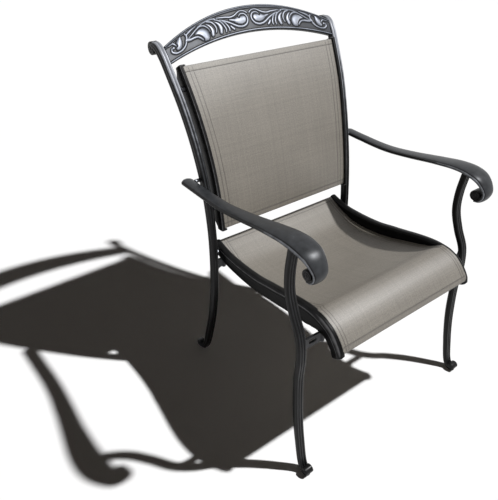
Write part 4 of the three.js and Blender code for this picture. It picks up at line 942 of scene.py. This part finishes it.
# %% Make the seat sling
CLOTH_LIFT, SLOT_FROM, SLOT_TO, SLOT_TUCK = 0.6 * MM, 2 * MM, 14 * MM, 1.9 * MM
SEAT_SAG, LEAST_SAG = 4.5 * MM, 0.6 * MM
over_rail = -height_off(sling_path, rail_path, RAIL_ROWS)
lap_table = curve_through([(-0.4, 1.03), (0.1, 0.98), (0.62, 0.83), (0.93, 0.5), (1.0, 0.28), (1.1, 0.2)], 6)


def crown_at(shares):
    """The height of the rails' crowns over the rails' line, at shares of the cloth's length."""
    return np.interp(shares, RAIL_ROWS, crown_tall)


def seat_out(shares):
    """The cloth's line is pulled down on the rails' crowns where it would float over them."""
    return np.minimum(0, crown_at(shares) + CLOTH_LIFT - np.interp(shares, RAIL_ROWS, over_rail))


def seat_half(place, shares):
    """Half width of the seat cloth: its edge lies on the rails' crowns as far up as the cloth is
    high, then beside the rails, and in their slots where they stand high enough over it."""
    high = np.interp(shares, RAIL_ROWS, over_rail) / crown_at(shares)
    flank = np.interp(high, *lap_table.T) * RAIL_WIDTH / 2
    inside = np.minimum(place[:, 0] - slot_y[0], slot_y[1] - place[:, 0])
    slotted = smooth_step(inside, SLOT_FROM, SLOT_TO)
    return RAIL_X - flank + SLOT_TUCK * slotted


def seat_sag(place, shares):
    """How far the middle of the seat cloth hangs below its edges: least over the front bend."""
    return SEAT_SAG * smooth_step(shares, 0.2, 0.5) * (1 - 0.85 * smooth_step(shares, 0.75, 0.98)) + LEAST_SAG


def seat_thick(shares):
    """The thickness of the seat cloth."""
    return hem(shares, sling_path, 0, 1)


seat_cloth = sling_path, seat_half, seat_out, seat_sag, seat_thick
seat_part = cloth_sheet(hem_rows(sling_path, 0, 1, 170), *seat_cloth)
seat = piece("seat_cloth", [seat_part], seat_mesh, ["seat_sling"], 60)

# %% Make the back sling
BACK_TUCK, BACK_SAG = 0.4 * MM, 4 * MM
back_from, back_to = (share + edge * MM / post_path["run"][-1] for share, edge in ((rail_from, 1), (rail_to, -1)))


def back_half(place, shares):
    """Half width of the back cloth: its edges lie in the slots of the back rails."""
    return back_rail_middle(place[:, 1]) + BACK_TUCK


def back_out(shares):
    """The back cloth's line keeps one distance ahead of the posts."""
    return np.full(len(shares), CLOTH_AHEAD)


def back_sag(place, shares):
    """How far the middle of the back cloth hangs behind its edges: not at all at its ends."""
    share = (shares - back_from) / (back_to - back_from)
    return BACK_SAG * smooth_step(share, 0.06, 0.4) * (1 - smooth_step(share, 0.6, 0.94))


def back_thick(shares):
    """The thickness of the back cloth."""
    return hem(shares, post_path, back_from, back_to)


back_cloth = post_path, back_half, back_out, back_sag, back_thick
back_part = cloth_sheet(hem_rows(post_path, back_from, back_to, 140), *back_cloth)
back = piece("back_cloth", [back_part], back_mesh, ["back_sling"], 60)

# %% Lay the UV map and the distances on the cloths
def lay_uv(made, part):
    """Every face corner takes the pair (across, along) of its point, in metres."""
    mesh = made.data
    corner = np.empty(len(mesh.loops), np.int32)
    mesh.loops.foreach_get("vertex_index", corner)
    layer = mesh.uv_layers.new(name="cloth")
    layer.data.foreach_set("uv", part["uv"][corner].astype(np.float32).reshape(-1))
    for name in ("from_edge", "from_end"):
        point_values(mesh, name, part[name])


lay_uv(seat, seat_part)
lay_uv(back, back_part)

# %% [markdown]
# ### Stitching
# Lock stitches hold the hems and the cord pockets. Each stitch is a short, slightly sunk bar of
# thread, and all stitches of a cloth are one mesh: one small shape, repeated by adding its points
# to each place and turning them with the seam. Instances would be lighter, but these are plain meshes.

# %% Lay rows of stitches on a cloth
STITCH_PITCH, STITCH_THICK = 3.6 * MM, 0.42 * MM
bar_angle = np.linspace(0, 2 * np.pi, 6, endpoint=False)[None]
bar_along, bar_round, bar_sunk = np.array([
    (-0.5, -0.32, 0, 0.32, 0.5), (0.35, 0.95, 1, 0.95, 0.35), (-0.35, 0.1, 0.3, 0.1, -0.35)])[..., None]


def stitches(places, headings, normals):
    """One bar of thread for each place: rings of six points along the seam, whose middle
    stands out of the cloth and whose ends dip into it."""
    sides = np.cross(headings, normals)
    wide, high = np.cos(bar_angle) * bar_round, np.sin(bar_angle) * bar_round * 0.8 + bar_sunk
    along = 0.8 * STITCH_PITCH * bar_along + 0 * wide
    at = sum(amount[None, ..., None] * way[:, None, None]
             for amount, way in ((along, headings), (wide * STITCH_THICK, sides), (high * STITCH_THICK, normals)))
    at = at + places[:, None, None]
    one = skin(at[0])
    first = (np.arange(len(at)) * len(one["at"]))[:, None, None]
    return {"at": at.reshape(-1, 3), "wear_and_painted_light": np.full(at.size // 3, 0.5),
            "faces": [(face[None] + first).reshape(-1, face.shape[1]) for face in one["faces"]]}


def on_cloth(path, shares, x, half_width, out, sag, thickness):
    """Places on a cloth's face at shares of its path and distances from the middle."""
    place, heading, normal = stations(path, shares)
    u = x / half_width(place, shares)
    high = out(shares) - sag(place, shares) * (1 - u ** 2) + thickness(shares) / 2
    yz = place + high[:, None] * normal
    return join([x[:, None], yz], -1), heading, normal


def seam(cloth, shares, x):
    """Even stitches along a line that is given by shares of the path and distances across."""
    line, heading, normal = on_cloth(cloth[0], shares, x, *cloth[1:])
    run = join([[0], np.cumsum(np.linalg.norm(np.diff(line, axis=0), axis=1))])
    at = np.arange(STITCH_PITCH, run[-1] - STITCH_PITCH, STITCH_PITCH)
    pick = lambda values: np.stack([np.interp(at, run, column) for column in values.T], -1)
    places = pick(line)
    headings = pick(np.gradient(line, run, axis=0))
    headings /= np.linalg.norm(headings, axis=1)[:, None]
    normals = join([np.zeros((len(at), 1)), pick(normal)], 1)
    return stitches(places, headings, normals)


# %% Sew both cloths
HEM_SEAM, SEAM_END = HEM - 1.5 * MM, 2 * MM


def seams_of(cloth, start, end, insets, fold=HEM_SEAM):
    """Two hems across, and rows beside both edges at the given distances from them."""
    path, half_width = cloth[0], cloth[1]
    length = path["run"][-1]
    shares = np.linspace(start, end, 400)
    sides = [half_width(stations(path, shares)[0], shares) - inset for inset in insets]
    across = np.linspace(-1, 1, 200)
    made = [seam(cloth, shares, side * x) for x in sides for side in (-1, 1)]
    for share in (start + fold / length, end - fold / length):
        row = np.full(200, share)
        made.append(seam(cloth, row, across * (half_width(stations(path, row)[0], row) - SEAM_END)))
    return made


seat_rows = seams_of(seat_cloth, 0.004, 0.996, SEAT_SEAMS)
back_rows = seams_of(back_cloth, back_from + 0.002, back_to - 0.002, BACK_SEAMS)
seat_seams, back_seams = (piece(name, rows, thread)
                          for name, rows in (("seat_stitches", seat_rows), ("back_stitches", back_rows)))

# %% [markdown]
# ## Small parts that keep their CAD shape
# Crossbars, spreaders, cords, caps, glides and bolts are plain bars and discs. They could be drawn
# anew with rounder edges, but they are small or hidden, so they only get finishes.

# %% Finish the small parts
small_finishes = {"crossbar": bar_paint, "spreader": tube_paint, "cord": edge_cord, "cap": black_nylon,
                  "glide": black_nylon, "bolt": bolt_steel}
for name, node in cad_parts.items():
    chosen = [finish for word, finish in small_finishes.items() if word in name]
    if chosen and not node.hide_render:
        node.data.materials.clear()
        node.data.materials.append(chosen[0])
print(sum(not node.hide_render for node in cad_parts.values()), "nodes keep their shape")

# %% [markdown]
# ## Floor and light
# The chair stands on a plain white floor. One lamp, high on the front right, is the main light and
# throws the long shadow to the left. A sun would be simpler, but its shadows don't spread as these
# do. A lamp this near leaves the far floor grey: its light falls off with the square of its distance
# and with the slope at which it meets the floor. Its strength is multiplied by the distance cubed:
# the Constant output makes up for the square, the ray's length for the slope. A dim, warm sky is
# all that fills the shadows, while the camera, reflections and clear things see the sky white.

# %% Make the floor
HALF_FLOOR, FLOOR_GAP, FLOOR_WHITE = 60, 0.0002, (0.92, 0.92, 0.92, 1)
floor_mesh = bpy.data.meshes.new("floor")
corners = [(x * HALF_FLOOR, y * HALF_FLOOR, 0) for x, y in ((-1, -1), (1, -1), (1, 1), (-1, 1))]
floor_mesh.from_pydata(corners, [], [(0, 1, 2, 3)])
pale_floor = Recipe("pale_floor").finish(base_color=FLOOR_WHITE, roughness=0.9, specular_ior_level=0.1)
floor_mesh.materials.append(pale_floor)
floor = new_object("floor", floor_mesh)
floor.location.z = -FLOOR_GAP
print("floor", 2 * HALF_FLOOR, "m wide")

# %% Hang the lamp
LAMP_PLACE, LAMP_POWER, LAMP_RADIUS = (1.21, -1.268 + SHIFT_Y, 2.762), 15.4, 0.04
lamp = bpy.data.lights.new("main_light", "POINT")
lamp.energy, lamp.shadow_soft_size, lamp.use_nodes = LAMP_POWER, LAMP_RADIUS, True
recipe = Recipe("main_light", lamp.node_tree)
even = recipe.add("LightFalloff", {"Strength": 1}, "Constant")
cubed = recipe.math("MULTIPLY", even, recipe.add("LightPath", output="Ray Length"))
recipe.feed(lamp.node_tree.nodes["Emission"].inputs["Strength"], cubed)
main_light = new_object("main_light", lamp)
main_light.location = LAMP_PLACE
print("lamp at", [round(value, 3) for value in main_light.location])

# %% Make the sky
DIM, WHITE = (0.028, 0.0245, 0.0215, 1), (1, 1, 1, 1)
world = bpy.context.scene.world = bpy.data.worlds.new("sky")
world.use_nodes = True
recipe = Recipe("sky", world.node_tree)
camera_ray, glossy_ray, clear_ray = (recipe.add("LightPath", output=name) for name in
                                     ("Is Camera Ray", "Is Glossy Ray", "Is Transmission Ray"))
seen_white = recipe.math("MAXIMUM", recipe.math("MAXIMUM", camera_ray, glossy_ray), clear_ray)
colour = recipe.add("Mix", {"Factor": seen_white, "A": DIM, "B": WHITE}, "Result", data_type="RGBA")
recipe.feed(world.node_tree.nodes["Background"].inputs["Color"], colour)
bpy.context.scene.view_settings.view_transform = "Standard"
print("sky", DIM[:3])
